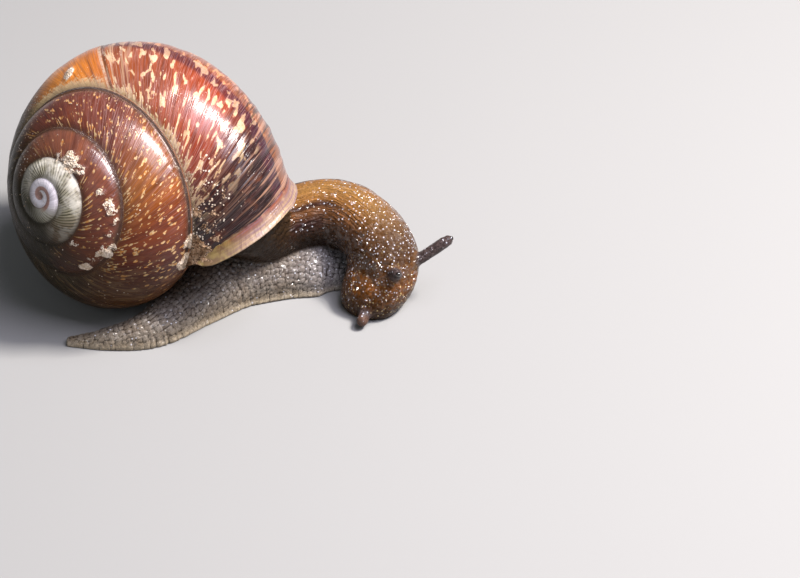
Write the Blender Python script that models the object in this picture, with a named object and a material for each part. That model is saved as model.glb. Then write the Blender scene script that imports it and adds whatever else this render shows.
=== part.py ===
"""Land snail (copse snail), life size, feeding with its neck bent down and round to its right.

World frame: metres, +Z up, floor at z = 0; the snail heads along +X and its right side faces -Y.
The sizes below are millimetres; they become metres when a mesh is made.
"""
import math

import bmesh
import bpy
import numpy as np
from mathutils import Vector

MM = 0.001
TURN = 2 * math.pi
MIDDLE = (0.17, -0.01, 0.0)     # middle of the whole snail's box, which becomes the origin
GAP = 0.2                       # clear gap that a cut between two sub-parts leaves

# ---------------------------------------------------------------- shell, about its own axis
# Measured from the apex: r out from the axis, z along it (positive towards the apex).
WHORLS = 5.25                   # turns of the tube from its start to the lip
FIRST_TURN = 1.25               # the nucleus hides the tube up to here
GROWTH = 1.37                   # the tube grows this much in the last turn
GROWTH_CHANGE = -0.022          # and slightly faster in the early ones
TUBE_RADIUS = 5.07              # shell axis to tube centre, at the lip
TUBE_DEPTH = 11.16              # apex to tube centre along the axis, at the lip
DEPTH_POWER = 1.6               # a low spire over a deep last whorl
TUBE_HALF_WIDTH = 6.79          # the tube's oval section at the lip, across the axis
TUBE_HALF_HEIGHT = 6.33         # and along it
TUBE_TILT = math.radians(-8.2)  # the oval leans down towards the outside
LIP_DROP = 1.43                 # the last whorl sinks this much as it nears the lip
LIP_SPREAD = 0.18               # and widens this much
DROP_TURNS = 0.3                # over this part of a turn
RIM_LEAN = math.radians(50.0)   # the rim leans back this much from the suture to the base
LEAN_DECAY = math.radians(60.0)
LIP_WIDTH = 0.85                # turned-out lip, measured along the tube
LIP_FLARE = 0.5                 # how far it stands out of the whorl
LIP_DEPTH = 0.95                # and how far it reaches into the mouth
LIP_START = math.radians(7.0)   # angle down from the suture where the lip starts
LIP_END = math.radians(196.0)   # and where it ends, at the navel
LIP_STEPS = 30                  # sections of the lip from its start to its end
LIP_SWELL_STEPS = 6             # it thickens over these sections after its start
LIP_TAPER_STEPS = 4             # and thins to half over these before its end
LIP_INNER = 0.6                 # its inner edge lies this far back, as a share of its depth
RIM_STEPS = 28                  # steps round the rim, for the collar and the mouth's plane

APEX = Vector((-12.2, -5.86, 11.63))    # the apex in the world; the whorl's underside meets the floor
AXIS_AZIMUTH = math.radians(-129.6)     # the axis points back, right and up
AXIS_ELEVATION = math.radians(25.3)
LIP_AZIMUTH = math.radians(69.1)        # the lip's place around the axis, from its underside

COLUMNS = 40                    # steps in one turn
STRIP_ROWS = 5                  # steps from suture to suture
NUCLEUS_RISE = 0.42             # the nucleus domes up this far above the apex point
NUCLEUS_RING = 0.45             # its middle ring lies this share of the way in
NUCLEUS_BULGE = 0.07            # and stands this far out of the cone
BASE_ROWS = 8                   # steps from the last whorl's shoulder to the navel

# ---------------------------------------------------------------- flesh
RING_SIDES = 20
STEPS_PER_SPAN = 4              # rings between two stations of a path
# A station: position, heading in degrees, half width, height above and below the position.
FOOT_PATH = [
    ((-11.2, -8.3, 0.30), 4, 0.30, 0.25, 0.6),
    ((-8.2, -8.1, 0.35), 10, 0.95, 0.90, 0.8),
    ((-5.2, -7.1, 0.40), 30, 1.70, 1.40, 0.9),
    ((-2.8, -4.2, 0.45), 38, 2.65, 2.10, 1.0),
    ((0.15, -1.0, 0.45), 25, 3.60, 3.10, 1.0),
    ((3.8, 0.4, 0.45), 8, 3.80, 2.95, 1.0),
    ((7.4, 0.4, 0.45), 0, 3.45, 2.45, 1.0),
    ((8.7, 0.3, 0.45), 0, 3.10, 1.90, 0.9),
    ((9.2, 0.3, 0.45), 0, 2.60, 1.30, 0.8),
]
TRUNK_PATH = [                  # from the mantle's edge down into the foot
    ((1.45, -1.3, 5.65), 82, 3.0, 3.7, 2.9),
    ((1.6, -0.9, 4.7), 82, 3.0, 3.2, 2.4),
    ((1.8, -0.4, 3.5), 82, 2.9, 2.7, 2.0),
    ((1.9, -0.2, 2.2), 82, 2.6, 2.3, 1.9),
]
NECK_PATH = [
    ((1.8, -0.3, 4.0), 28, 2.6, 1.5, 2.5),
    ((3.4, 0.5, 4.2), 24, 2.65, 1.9, 2.6),
    ((5.3, 1.3, 4.3), 14, 2.65, 2.3, 2.6),
    ((7.4, 1.65, 4.3), -6, 2.6, 2.55, 2.6),
    ((9.4, 0.7, 4.35), -26, 2.55, 2.55, 2.55),
    ((11.0, -1.1, 4.0), -34, 2.45, 2.45, 2.45),
    ((11.8, -2.5, 3.2), -34, 2.4, 2.35, 2.5),
    ((11.95, -3.45, 2.1), -32, 2.3, 2.15, 2.4),
    ((11.2, -4.0, 1.0), -20, 2.15, 2.15, 2.75),
    ((11.0, -4.0, 0.2), -18, 1.85, 1.8, 2.4),
]
UPPER_TENTACLE_LEFT = [         # stretched out, its eye at the tip
    ((12.9, -3.6, 3.1), 0.42),
    ((14.4, -3.1, 3.9), 0.38),
    ((15.4, -2.8, 4.5), 0.35),
    ((15.9, -2.65, 4.8), 0.38),
    ((16.16, -2.55, 4.93), 0.34),
]
UPPER_TENTACLE_RIGHT = [        # drawn in to a stub
    ((12.2, -4.4, 3.3), 0.50),
    ((12.4, -5.2, 3.95), 0.47),
    ((12.5, -5.5, 4.2), 0.40),
]
LOWER_TENTACLE_LEFT = [
    ((12.3, -2.75, 1.05), 0.46),
    ((12.6, -2.3, 0.95), 0.45),
    ((13.1, -1.75, 0.75), 0.46),
    ((13.35, -1.4, 0.62), 0.42),
]
LOWER_TENTACLE_RIGHT = [
    ((10.9, -4.6, 0.95), 0.42),
    ((10.25, -5.7, 0.8), 0.46),
    ((9.95, -6.6, 0.62), 0.42),
]
EYE_RADIUS = 0.2
MOUTH_DEPTH = 2.0               # how far the shell's mouth is hollowed behind the collar
COLLAR_THICKNESS = 0.9          # fleshy pad that fills the shell's mouth
COLLAR_SCALE = 0.80             # its outline, from the mouth's centre to the rim
COLLAR_ROUNDING = 0.9           # its front outline is this much smaller
COLLAR_SHOULDER = 0.6           # and the rounding starts this share of the way up
TIP_LENGTH = 0.7                # a feeler's rounded tip, as a share of its last radius
TIP_RADIUS = 0.45
WELD = 0.002                    # points nearer than this become one


# ---------------------------------------------------------------- meshes and materials
def clear_scene():
    for obj in list(bpy.data.objects):
        bpy.data.objects.remove(obj, do_unlink=True)


def material(name, colour, roughness):
    """A Principled material with one colour."""
    mat = bpy.data.materials.new(name)
    mat.use_nodes = True
    shader = mat.node_tree.nodes["Principled BSDF"]
    shader.inputs["Base Color"].default_value = (*colour, 1.0)
    shader.inputs["Roughness"].default_value = roughness
    shader.inputs["Metallic"].default_value = 0.0
    return mat


def make_object(name, bm, mat):
    """Turn a bmesh in millimetres into a smooth-shaded object in metres."""
    bmesh.ops.remove_doubles(bm, verts=bm.verts, dist=WELD)
    bmesh.ops.recalc_face_normals(bm, faces=bm.faces)
    bmesh.ops.translate(bm, vec=-Vector(MIDDLE), verts=bm.verts)
    bmesh.ops.scale(bm, vec=(MM, MM, MM), verts=bm.verts)
    mesh = bpy.data.meshes.new(name)
    bm.to_mesh(mesh)
    bm.free()
    mesh.shade_smooth()
    mesh.set_sharp_from_angle(angle=math.radians(50))
    if mat:
        mesh.materials.append(mat)
    obj = bpy.data.objects.new(name, mesh)
    bpy.context.scene.collection.objects.link(obj)
    return obj


def subtract(obj, cutters):
    """Cut obj back where a neighbour lies; the cutters are that neighbour grown by the gap."""
    for cutter in cutters:
        modifier = obj.modifiers.new("cut_" + cutter.name, "BOOLEAN")
        modifier.operation = "DIFFERENCE"
        modifier.solver = "EXACT"
        modifier.object = cutter


def as_cutter(obj):
    obj.hide_render = True
    obj.display_type = "WIRE"
    return obj


# ---------------------------------------------------------------- the shell's surface
def tube_centre(theta):
    """Centre (r, z) and size of the tube after it has wound through the angle theta."""
    turns = theta / TURN - WHORLS
    size = np.exp(math.log(GROWTH) * turns + GROWTH_CHANGE * turns * turns)
    near_lip = np.clip(1 + turns / DROP_TURNS, 0, 1) ** 2
    r = TUBE_RADIUS * size + LIP_SPREAD * near_lip
    z = -TUBE_DEPTH * size ** DEPTH_POWER - LIP_DROP * near_lip
    return r, z, size


def tube_point(theta, alpha, outset=0.0):
    """Point (r, z) of the oval section; alpha 0 looks outwards and a quarter turn to the apex."""
    r, z, size = tube_centre(theta)
    across = (TUBE_HALF_WIDTH * size + outset) * np.cos(alpha)
    along = (TUBE_HALF_HEIGHT * size + outset) * np.sin(alpha)
    tilt_cos = math.cos(TUBE_TILT)
    tilt_sin = math.sin(TUBE_TILT)
    return r + across * tilt_cos - along * tilt_sin, z + across * tilt_sin + along * tilt_cos


def inside_tube(theta, r, z):
    """Negative where (r, z) is inside the tube's section at theta."""
    centre_r, centre_z, size = tube_centre(theta)
    tilt_cos = math.cos(TUBE_TILT)
    tilt_sin = math.sin(TUBE_TILT)
    across = (r - centre_r) * tilt_cos + (z - centre_z) * tilt_sin
    along = (z - centre_z) * tilt_cos - (r - centre_r) * tilt_sin
    return (across / (TUBE_HALF_WIDTH * size)) ** 2 + (along / (TUBE_HALF_HEIGHT * size)) ** 2 - 1


def first_angle(values, angles):
    """The angle at which the values first turn negative, between two samples."""
    index = int(np.argmax(values < 0))
    before = values[index - 1]
    after = values[index]
    part = before / (before - after)
    return float(angles[index - 1] + (angles[index] - angles[index - 1]) * part)


def suture_angle(theta):
    """Where this whorl's upper side meets the whorl before it, or the axis."""
    angles = np.linspace(0, math.pi, 400)
    r, z = tube_point(theta, angles)
    covered = np.minimum(inside_tube(theta - TURN, r, z), r)
    return first_angle(covered, angles)


def lower_angle(theta):
    """Where the next whorl, or its continuation, would cover this one."""
    angles = np.linspace(suture_angle(theta) - 0.02, -0.9 * math.pi, 500)
    r, z = tube_point(theta, angles)
    return first_angle(inside_tube(theta + TURN, r, z), angles)


def lean(theta, drop):
    """How far the growth lines lean back, for an angle drop below the suture."""
    near_lip = np.clip(1 + 2 * (theta / TURN - WHORLS), 0, 1)
    ease = near_lip * near_lip * (3 - 2 * near_lip)
    return -RIM_LEAN * (1 - np.exp(-drop / LEAN_DECAY)) * ease


def navel_drop(theta):
    """The angle below the suture at which a leaning growth line comes to the axis."""
    top = suture_angle(theta)
    drops = np.linspace(0.5, 1.35 * math.pi, 500)
    r, _ = tube_point(theta + lean(theta, drops), top - drops)
    return first_angle(r, drops)


def shell_axes():
    """Unit vectors of the shell: underside of the axis, its side, and the axis itself."""
    flat = math.cos(AXIS_ELEVATION)
    axis = Vector((flat * math.cos(AXIS_AZIMUTH), flat * math.sin(AXIS_AZIMUTH),
                   math.sin(AXIS_ELEVATION)))
    under = Vector((math.sin(AXIS_ELEVATION) * math.cos(AXIS_AZIMUTH),
                    math.sin(AXIS_ELEVATION) * math.sin(AXIS_AZIMUTH), -flat))
    return under, axis.cross(under), axis


def shell_to_world(theta, r, z):
    """World place of (r, z) in the section at theta; the shell winds clockwise from the apex."""
    under, side, axis = shell_axes()
    azimuth = LIP_AZIMUTH - (theta - WHORLS * TURN)
    return APEX + float(r) * (math.cos(azimuth) * under + math.sin(azimuth) * side) + float(z) * axis


def surface_point(theta, drop, outset=0.0):
    """World place on the shell, by winding angle and the angle below the suture."""
    top = suture_angle(theta)
    leaned = theta + float(lean(theta, drop))
    r, z = tube_point(leaned, top - drop, outset)
    return shell_to_world(leaned, max(float(r), 0.0), z)


# ---------------------------------------------------------------- the shell's pieces
def quad_strip(bm, columns):
    """Faces between neighbouring columns of vertices, skipping those that come to nothing."""
    for left, right in zip(columns, columns[1:]):
        for row in range(len(left) - 1):
            corners = [left[row], right[row], right[row + 1], left[row + 1]]
            corners = list(dict.fromkeys(corners))
            if len(corners) > 2:
                bm.faces.new(corners)


def fan(bm, loop, centre):
    """Close a loop of vertices with triangles to one centre point."""
    hub = bm.verts.new(centre)
    for first, second in zip(loop, loop[1:] + loop[:1]):
        if first is not second:
            bm.faces.new((first, second, hub))


def axis_place(z):
    return shell_to_world(0.0, 0.0, z)


def mouth_rim():
    """Points round the rim of the shell's mouth, their middle, and the way the mouth faces."""
    drops = [LIP_START + (LIP_END - LIP_START) * step / RIM_STEPS for step in range(RIM_STEPS + 1)]
    rim = [surface_point(WHORLS * TURN, drop) for drop in drops]
    first = rim[1]
    second = rim[RIM_STEPS // 2]
    third = rim[-2]
    normal = (second - first).cross(third - first).normalized()
    return rim, sum(rim, Vector()) / len(rim), normal if normal.z < 0 else -normal


def build_spire(mat):
    """All whorls but the last: a strip that winds from the nucleus, closed towards the axis."""
    end = (WHORLS - 1) * TURN - (LIP_WIDTH + 2 * GAP) / TUBE_RADIUS / 2
    count = int(round((end / TURN - FIRST_TURN) * COLUMNS))
    bm = bmesh.new()
    columns = []
    for index in range(count + 1):
        theta = end - (count - index) * TURN / COLUMNS
        top = suture_angle(theta)
        reach = top - lower_angle(theta)
        grown = min(1.0, index / (0.5 * COLUMNS))
        start = reach * (1 - grown * grown * (3 - 2 * grown))
        if index > count - COLUMNS - 1:
            reach -= GAP / (TUBE_HALF_HEIGHT * tube_centre(theta)[2])
        column = []
        for row in range(STRIP_ROWS + 1):
            if row == 0 and index >= COLUMNS:
                column.append(columns[index - COLUMNS][STRIP_ROWS])
            elif index == 0 and row > 0:
                column.append(column[0])
            else:
                drop = start + (reach - start) * row / STRIP_ROWS
                column.append(bm.verts.new(surface_point(theta, drop)))
        columns.append(column)
    quad_strip(bm, columns)
    # The nucleus: a low dome over the first turn of the strip.
    rim = [column[0] for column in columns[:COLUMNS]]
    apex = axis_place(NUCLEUS_RISE)
    bulge = shell_axes()[2] * NUCLEUS_BULGE
    ring = [bm.verts.new(vert.co.lerp(apex, NUCLEUS_RING) + bulge) for vert in rim]
    closed = [[outer, inner] for outer, inner in zip(rim, ring)]
    quad_strip(bm, closed + closed[:1])
    fan(bm, ring, apex)
    # The underside, from the free edge to a point on the axis.
    edge = [column[STRIP_ROWS] for column in columns[count - COLUMNS:]]
    edge += columns[count][STRIP_ROWS - 1:0:-1]
    heights = [(vert.co - APEX).dot(shell_axes()[2]) for vert in edge]
    fan(bm, edge, axis_place(sum(heights) / len(heights) + 2 * GAP))
    return make_object("shell_spire", bm, mat)


def build_body_whorl(mat):
    """The last whorl: from the suture round to the navel, with a closed mouth for the collar."""
    end = WHORLS * TURN - (LIP_WIDTH + 1.5 * GAP) / (TUBE_RADIUS + TUBE_HALF_WIDTH)
    bm = bmesh.new()
    columns = []
    for index in range(COLUMNS + 1):
        theta = end - (COLUMNS - index) * TURN / COLUMNS
        shoulder = suture_angle(theta) - lower_angle(theta)
        navel = navel_drop(theta)
        column = []
        for row in range(STRIP_ROWS + BASE_ROWS + 1):
            if row <= STRIP_ROWS:
                drop = shoulder * row / STRIP_ROWS
            else:
                drop = shoulder + (navel - shoulder) * (row - STRIP_ROWS) / BASE_ROWS
            if index == COLUMNS and row == 0:
                column.append(columns[0][STRIP_ROWS])
            else:
                column.append(bm.verts.new(surface_point(theta, drop)))
        columns.append(column)
    quad_strip(bm, columns)
    edge = [column[0] for column in columns] + columns[0][STRIP_ROWS - 1:0:-1]
    heights = [(vert.co - APEX).dot(shell_axes()[2]) for vert in edge]
    fan(bm, edge, axis_place(sum(heights) / len(heights)))
    # The mouth's floor, sunk a little, between the rim, the navel and the wall behind.
    mouth = columns[0][STRIP_ROWS:]
    mouth += [column[-1] for column in columns[1:]]
    mouth += columns[-1][-2:0:-1]
    middle = sum((vert.co for vert in columns[-1]), Vector()) / len(columns[-1])
    fan(bm, mouth, middle - mouth_rim()[2] * MOUTH_DEPTH)
    keep_side(bm, Vector((0, 0, 0)), Vector((0, 0, -1)))
    return make_object("shell_body_whorl", bm, mat)


def build_lip(mat):
    """The turned-out lip: a four-cornered section carried round the rim."""
    front = WHORLS * TURN
    back = front - LIP_WIDTH / (TUBE_RADIUS + TUBE_HALF_WIDTH)
    bm = bmesh.new()
    rings = []
    for index in range(LIP_STEPS + 1):
        drop = LIP_START + (LIP_END - LIP_START) * index / LIP_STEPS
        swell = math.sin(math.pi / 2 * min(1.0, (1 + index) / LIP_SWELL_STEPS))
        taper = min(1.0, 0.5 + 0.5 * (LIP_STEPS - index) / LIP_TAPER_STEPS)
        depth = LIP_DEPTH * swell * taper
        flare = LIP_FLARE * swell * taper
        corners = [
            surface_point(back, drop),
            surface_point(front, drop, flare),
            surface_point(front, drop, flare - depth),
            surface_point(back, drop, -LIP_INNER * depth),
        ]
        rings.append([bm.verts.new(corner) for corner in corners])
    for first, second in zip(rings, rings[1:]):
        for side in range(4):
            after = (side + 1) % 4
            bm.faces.new((first[side], second[side], second[after], first[after]))
    bm.faces.new(rings[0])
    bm.faces.new(rings[-1])
    return make_object("shell_lip", bm, mat)


def build_collar(mat):
    """The mantle's edge: a plug that fills the mouth inside the lip and stands out a little."""
    rim, centre, normal = mouth_rim()
    flat = [point - normal * (point - centre).dot(normal) for point in rim]
    bm = bmesh.new()
    rings = []
    for share, rounding in ((0.0, 1.0), (COLLAR_SHOULDER, 1.0), (1.0, COLLAR_ROUNDING)):
        level = centre + normal * (GAP + share * COLLAR_THICKNESS)
        scale = COLLAR_SCALE * rounding
        rings.append([bm.verts.new(level + (point - centre) * scale) for point in flat])
    for lower, upper in zip(rings, rings[1:]):
        for index in range(len(lower)):
            after = (index + 1) % len(lower)
            bm.faces.new((lower[index], lower[after], upper[after], upper[index]))
    bm.faces.new(rings[0])
    bm.faces.new(rings[-1])
    return make_object("mantle_collar", bm, mat)


# ---------------------------------------------------------------- flesh
def smooth_path(stations):
    """Stations in flat rows of numbers, filled in with a Catmull-Rom curve."""
    rows = [np.array([*place, *rest], dtype=float) for place, *rest in stations]
    rows = [2 * rows[0] - rows[1]] + rows + [2 * rows[-1] - rows[-2]]
    filled = []
    for before, start, end, after in zip(rows, rows[1:], rows[2:], rows[3:]):
        for step in range(STEPS_PER_SPAN):
            t = step / STEPS_PER_SPAN
            filled.append(0.5 * (2 * start + (end - before) * t
                                 + (2 * before - 5 * start + 4 * end - after) * t * t
                                 + (3 * start - before - 3 * end + after) * t ** 3))
    filled.append(rows[-2])
    return filled


def sweep(stations, grow=0.0, sides=RING_SIDES):
    """A closed body along a path; no point goes below the floor, so the sole is flat."""
    rows = smooth_path(stations)
    bm = bmesh.new()
    rings = []
    for index, row in enumerate(rows):
        here = Vector(row[:3])
        ahead = Vector(rows[min(index + 1, len(rows) - 1)][:3]) - Vector(rows[max(index - 1, 0)][:3])
        ahead.normalize()
        heading = math.radians(row[3])
        lateral = Vector((-math.sin(heading), math.cos(heading), 0.0))
        dorsal = ahead.cross(lateral).normalized()
        lateral = dorsal.cross(ahead)
        half_width, above, below = row[4:7]
        ring = []
        for side in range(sides):
            angle = TURN * side / sides
            reach = above if math.sin(angle) > 0 else below
            point = (here + lateral * (half_width + grow) * math.cos(angle)
                     + dorsal * (reach + grow) * math.sin(angle))
            point.z = max(point.z, -grow)
            ring.append(bm.verts.new(point))
        rings.append(ring)
    for first, second in zip(rings, rings[1:]):
        for side in range(sides):
            after = (side + 1) % sides
            bm.faces.new((first[side], second[side], second[after], first[after]))
    bm.faces.new(rings[0])
    bm.faces.new(rings[-1])
    return bm


def keep_side(bm, place, direction):
    """Cut a body with a plane, drop what lies along the direction, and close the cut."""
    geometry = bm.verts[:] + bm.edges[:] + bm.faces[:]
    bmesh.ops.bisect_plane(bm, geom=geometry, dist=1e-5, plane_co=place, plane_no=direction,
                           clear_outer=True)
    edges = [edge for edge in bm.edges if edge.is_boundary]
    bmesh.ops.holes_fill(bm, edges=edges, sides=0)


def station_plane(stations, index):
    """The plane across a path at one of its stations."""
    ahead = Vector(stations[index + 1][0]) - Vector(stations[index - 1][0])
    return Vector(stations[index][0]), ahead.normalized()


def build_lengths(stations, cuts, names, mats, cutters):
    """One swept body parted across its path into named lengths."""
    made = []
    for number, name in enumerate(names):
        bm = sweep(stations)
        if number > 0:
            place, ahead = station_plane(stations, cuts[number - 1])
            keep_side(bm, place + ahead * GAP / 2, -ahead)
        if number < len(cuts):
            place, ahead = station_plane(stations, cuts[number])
            keep_side(bm, place - ahead * GAP / 2, ahead)
        obj = make_object(name, bm, mats[number])
        subtract(obj, cutters)
        made.append(obj)
    return made


def build_trunk(mat, cutters):
    """The stalk of the body, from the mantle's edge down to the foot."""
    _, centre, normal = mouth_rim()
    bm = sweep(TRUNK_PATH)
    keep_side(bm, centre + normal * (COLLAR_THICKNESS + 2 * GAP), -normal)
    subtract(make_object("trunk", bm, mat), cutters)


def build_tentacle(name, points, mat, cutters, grow=0.0):
    """A round feeler with a rounded tip."""
    stations = [(place, 0.0, radius, radius, radius) for place, radius in points]
    last, radius = points[-1]
    ahead = (Vector(last) - Vector(points[-2][0])).normalized()
    tip = Vector(last) + ahead * radius * TIP_LENGTH
    stations.append((tuple(tip), 0.0, *[radius * TIP_RADIUS] * 3))
    obj = make_object(name, sweep(stations, grow, 10), mat)
    subtract(obj, cutters)
    return obj


def build_eye(name, place, mat, grow=0.0):
    bm = bmesh.new()
    bmesh.ops.create_icosphere(bm, subdivisions=2, radius=EYE_RADIUS + grow)
    bmesh.ops.translate(bm, vec=place, verts=bm.verts)
    return make_object(name, bm, mat)


def main():
    clear_scene()
    shell_brown = material("shell_brown", (0.20, 0.065, 0.03), 0.25)
    lip_cream = material("lip_cream", (0.62, 0.50, 0.34), 0.4)
    collar_grey = material("collar_grey", (0.10, 0.075, 0.05), 0.35)
    flank_grey = material("flank_grey", (0.13, 0.10, 0.08), 0.35)
    neck_ochre = material("neck_ochre", (0.22, 0.12, 0.04), 0.3)
    head_brown = material("head_brown", (0.17, 0.085, 0.035), 0.3)
    feeler_grey = material("feeler_grey", (0.05, 0.045, 0.045), 0.35)
    feeler_pale = material("feeler_pale", (0.22, 0.18, 0.16), 0.3)
    eye_black = material("eye_black", (0.01, 0.01, 0.012), 0.1)

    build_spire(shell_brown)
    build_body_whorl(shell_brown)
    build_lip(lip_cream)
    build_collar(collar_grey)

    foot_room = as_cutter(make_object("foot_room", sweep(FOOT_PATH, GAP), None))
    trunk_room = as_cutter(make_object("trunk_room", sweep(TRUNK_PATH, GAP), None))
    head_room = as_cutter(make_object("head_room", sweep(NECK_PATH, GAP), None))
    build_lengths(FOOT_PATH, [2, 4], ["tail", "foot_middle", "foot_front"], [flank_grey] * 3, [])
    build_trunk(flank_grey, [foot_room])
    build_lengths(NECK_PATH, [3, 5], ["neck_rear", "neck_front", "head"],
                  [neck_ochre, neck_ochre, head_brown], [foot_room, trunk_room])

    for name, points in (("upper_tentacle_left", UPPER_TENTACLE_LEFT),
                         ("upper_tentacle_right", UPPER_TENTACLE_RIGHT)):
        ahead = (Vector(points[-1][0]) - Vector(points[-2][0])).normalized()
        place = Vector(points[-1][0]) + ahead * points[-1][1]
        eye_name = name.replace("upper_tentacle", "eye")
        build_eye(eye_name, place, eye_black)
        eye_room = as_cutter(build_eye(eye_name + "_room", place, None, GAP / 3))
        build_tentacle(name, points, feeler_grey, [head_room, eye_room])
    for name, points in (("lower_tentacle_left", LOWER_TENTACLE_LEFT),
                         ("lower_tentacle_right", LOWER_TENTACLE_RIGHT)):
        build_tentacle(name, points, feeler_pale, [head_room])


main()
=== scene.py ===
"""Looks of the life-size copse snail: its shell, its wet skin and its eyes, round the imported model.

World frame: metres, +Z up, floor at z = 0; the snail heads along +X and its right side faces -Y.
Sizes are millimetres in the functions and become metres when a mesh is made.
"""

import itertools
import math

import bpy
import numpy as np
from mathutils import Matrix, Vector


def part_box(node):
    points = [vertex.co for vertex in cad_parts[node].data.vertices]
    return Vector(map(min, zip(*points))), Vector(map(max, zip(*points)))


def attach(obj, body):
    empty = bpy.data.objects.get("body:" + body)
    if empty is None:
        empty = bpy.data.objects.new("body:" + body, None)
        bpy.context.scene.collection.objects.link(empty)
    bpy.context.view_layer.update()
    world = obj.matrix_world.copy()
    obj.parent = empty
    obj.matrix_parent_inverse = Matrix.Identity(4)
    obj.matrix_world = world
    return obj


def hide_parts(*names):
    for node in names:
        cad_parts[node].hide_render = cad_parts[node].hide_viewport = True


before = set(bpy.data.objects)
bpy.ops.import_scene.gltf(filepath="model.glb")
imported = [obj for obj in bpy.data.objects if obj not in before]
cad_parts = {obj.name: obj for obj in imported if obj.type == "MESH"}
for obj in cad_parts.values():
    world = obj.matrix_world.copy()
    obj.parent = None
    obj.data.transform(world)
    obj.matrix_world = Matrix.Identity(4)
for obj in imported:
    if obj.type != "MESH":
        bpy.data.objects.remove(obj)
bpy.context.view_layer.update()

MM = 0.001
TURN = 2 * math.pi

# ---- the shell's spiral, as in the CAD
WHORLS = 5.25                   # turns of the tube from its start to the lip
GROWTH = 1.37
GROWTH_CHANGE = -0.022
TUBE_RADIUS = 5.07
TUBE_DEPTH = 11.16
DEPTH_POWER = 1.6
TUBE_HALF_WIDTH = 6.79
TUBE_HALF_HEIGHT = 6.33
TUBE_TILT = math.radians(-8.2)
TILT_COS = math.cos(TUBE_TILT)
TILT_SIN = math.sin(TUBE_TILT)
LIP_DROP = 1.43
LIP_SPREAD = 0.18
DROP_TURNS = 0.3
RIM_LEAN = math.radians(50.0)
LEAN_DECAY = math.radians(60.0)
LIP_WIDTH = 0.85
LIP_START = math.radians(7.0)
LIP_END = math.radians(196.0)
APEX = np.array([-12.37, -5.85, 11.63])
AXIS_AZIMUTH = math.radians(-129.6)
AXIS_ELEVATION = math.radians(25.3)
LIP_AZIMUTH = math.radians(69.1)

SHELL_COLUMNS = 420             # steps in one turn of the shell
SHELL_START = -0.3              # turn at which the visible spiral starts, inside the nucleus
SPIRE_ROWS = 26                 # steps from suture to suture
BASE_ROWS = 80                  # steps from the last whorl's shoulder to the navel
SUTURE_DEPTH = 0.16             # the groove between whorls, on the last whorl
GROWTH_HALT = 4.938             # turn at which growth once stopped for a while
HALT_TURN = 74.0                # millimetres along one turn of the whorl there
HALT_WIDTH = 0.13
HALT_STEP = 0.004               # turns over which the surface steps down there
LIP_ZONE = (5.08, 5.16)         # turns over which the rough dark zone at the lip sets in
NUCLEUS_RISE = 0.12             # how far the closed tip stands beyond the spiral's apex
OFF_FLOOR = 0.02                # the mouth's lining stays this far above the floor
SOIL_FULL = 0.12                # thickness of soil that the materials read as 1
# Rings that line the mouth: degrees in from the rim, and how far out of the tube's oval.
MOUTH_RINGS = ((0.6, -0.30), (3.0, -0.38), (6.0, -0.42), (10.0, -0.45), (15.0, -0.5), (20.0, -0.5),
               (26.0, -0.5))
# Caked soil: turn, degrees below the suture, radius and thickness in millimetres.
SOIL_SPOTS = (
    (2.96, 6.0, 0.50, 0.10), (3.00, 8.0, 0.85, 0.14), (3.05, 12.0, 0.50, 0.10), (2.30, 60.0, 0.50, 0.08),
    (3.12, 28.0, 0.45, 0.08), (3.14, 40.0, 0.35, 0.07), (3.16, 36.0, 0.60, 0.10), (3.19, 44.0, 0.40, 0.08),
    (3.22, 40.0, 0.35, 0.07), (3.25, 52.0, 0.45, 0.08), (3.27, 45.0, 0.70, 0.12), (3.30, 38.0, 0.35, 0.07),
    (3.33, 42.0, 0.50, 0.14), (4.85, 16.0, 0.52, 0.16), (4.10, 55.0, 0.50, 0.06),
    (5.243, 4.0, 1.10, 0.18), (5.232, 9.0, 0.90, 0.15), (5.215, 5.0, 0.80, 0.13), (5.20, 10.0, 0.50, 0.10),
    (5.17, 4.0, 0.50, 0.09), (5.18, 23.0, 0.45, 0.09), (5.15, 12.0, 0.40, 0.08), (5.12, 4.0, 0.45, 0.08),
    (5.225, 17.0, 0.40, 0.08), (5.19, 15.0, 0.35, 0.07), (5.235, 14.0, 0.40, 0.08),
)


# ---- noise
def hashed(cells, seed):
    """Random numbers from 0 to 1, one for each row of whole numbers: an integer hash of the row."""
    value = np.full(cells.shape[:-1], seed * 2654435761 % 4294967296, dtype=np.uint32)
    for axis in range(cells.shape[-1]):
        value ^= (cells[..., axis].astype(np.int64) & 0xFFFFFFFF).astype(np.uint32)
        value *= np.uint32(0x85EBCA6B)
        value ^= value >> np.uint32(15)
        value *= np.uint32(0xC2B2AE35)
        value ^= value >> np.uint32(13)
    return value.astype(np.float64) / 4294967296.0


def noise(points, seed=1):
    """Smooth noise from -1 to 1: random numbers at whole-number points, eased between them."""
    base = np.floor(points)
    part = points - base
    ease = part * part * (3 - 2 * part)
    total = np.zeros(points.shape[:-1])
    for corner in itertools.product((0, 1), repeat=points.shape[-1]):
        corner = np.array(corner)
        weight = np.prod(np.where(corner == 1, ease, 1 - ease), axis=-1)
        total += weight * hashed(base + corner, seed)
    return 2 * total - 1


def smooth(low, high, value):
    """Eased step: 0 below low, 1 above high."""
    part = np.clip((value - low) / (high - low), 0, 1)
    return part * part * (3 - 2 * part)


def curve(before, start, end, after, t):
    """Catmull-Rom: the cubic from start to end whose slopes there are half the neighbours' spans."""
    return 0.5 * (2 * start + (end - before) * t
                  + (2 * before - 5 * start + 4 * end - after) * t * t
                  + (3 * start - before - 3 * end + after) * t ** 3)


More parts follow.
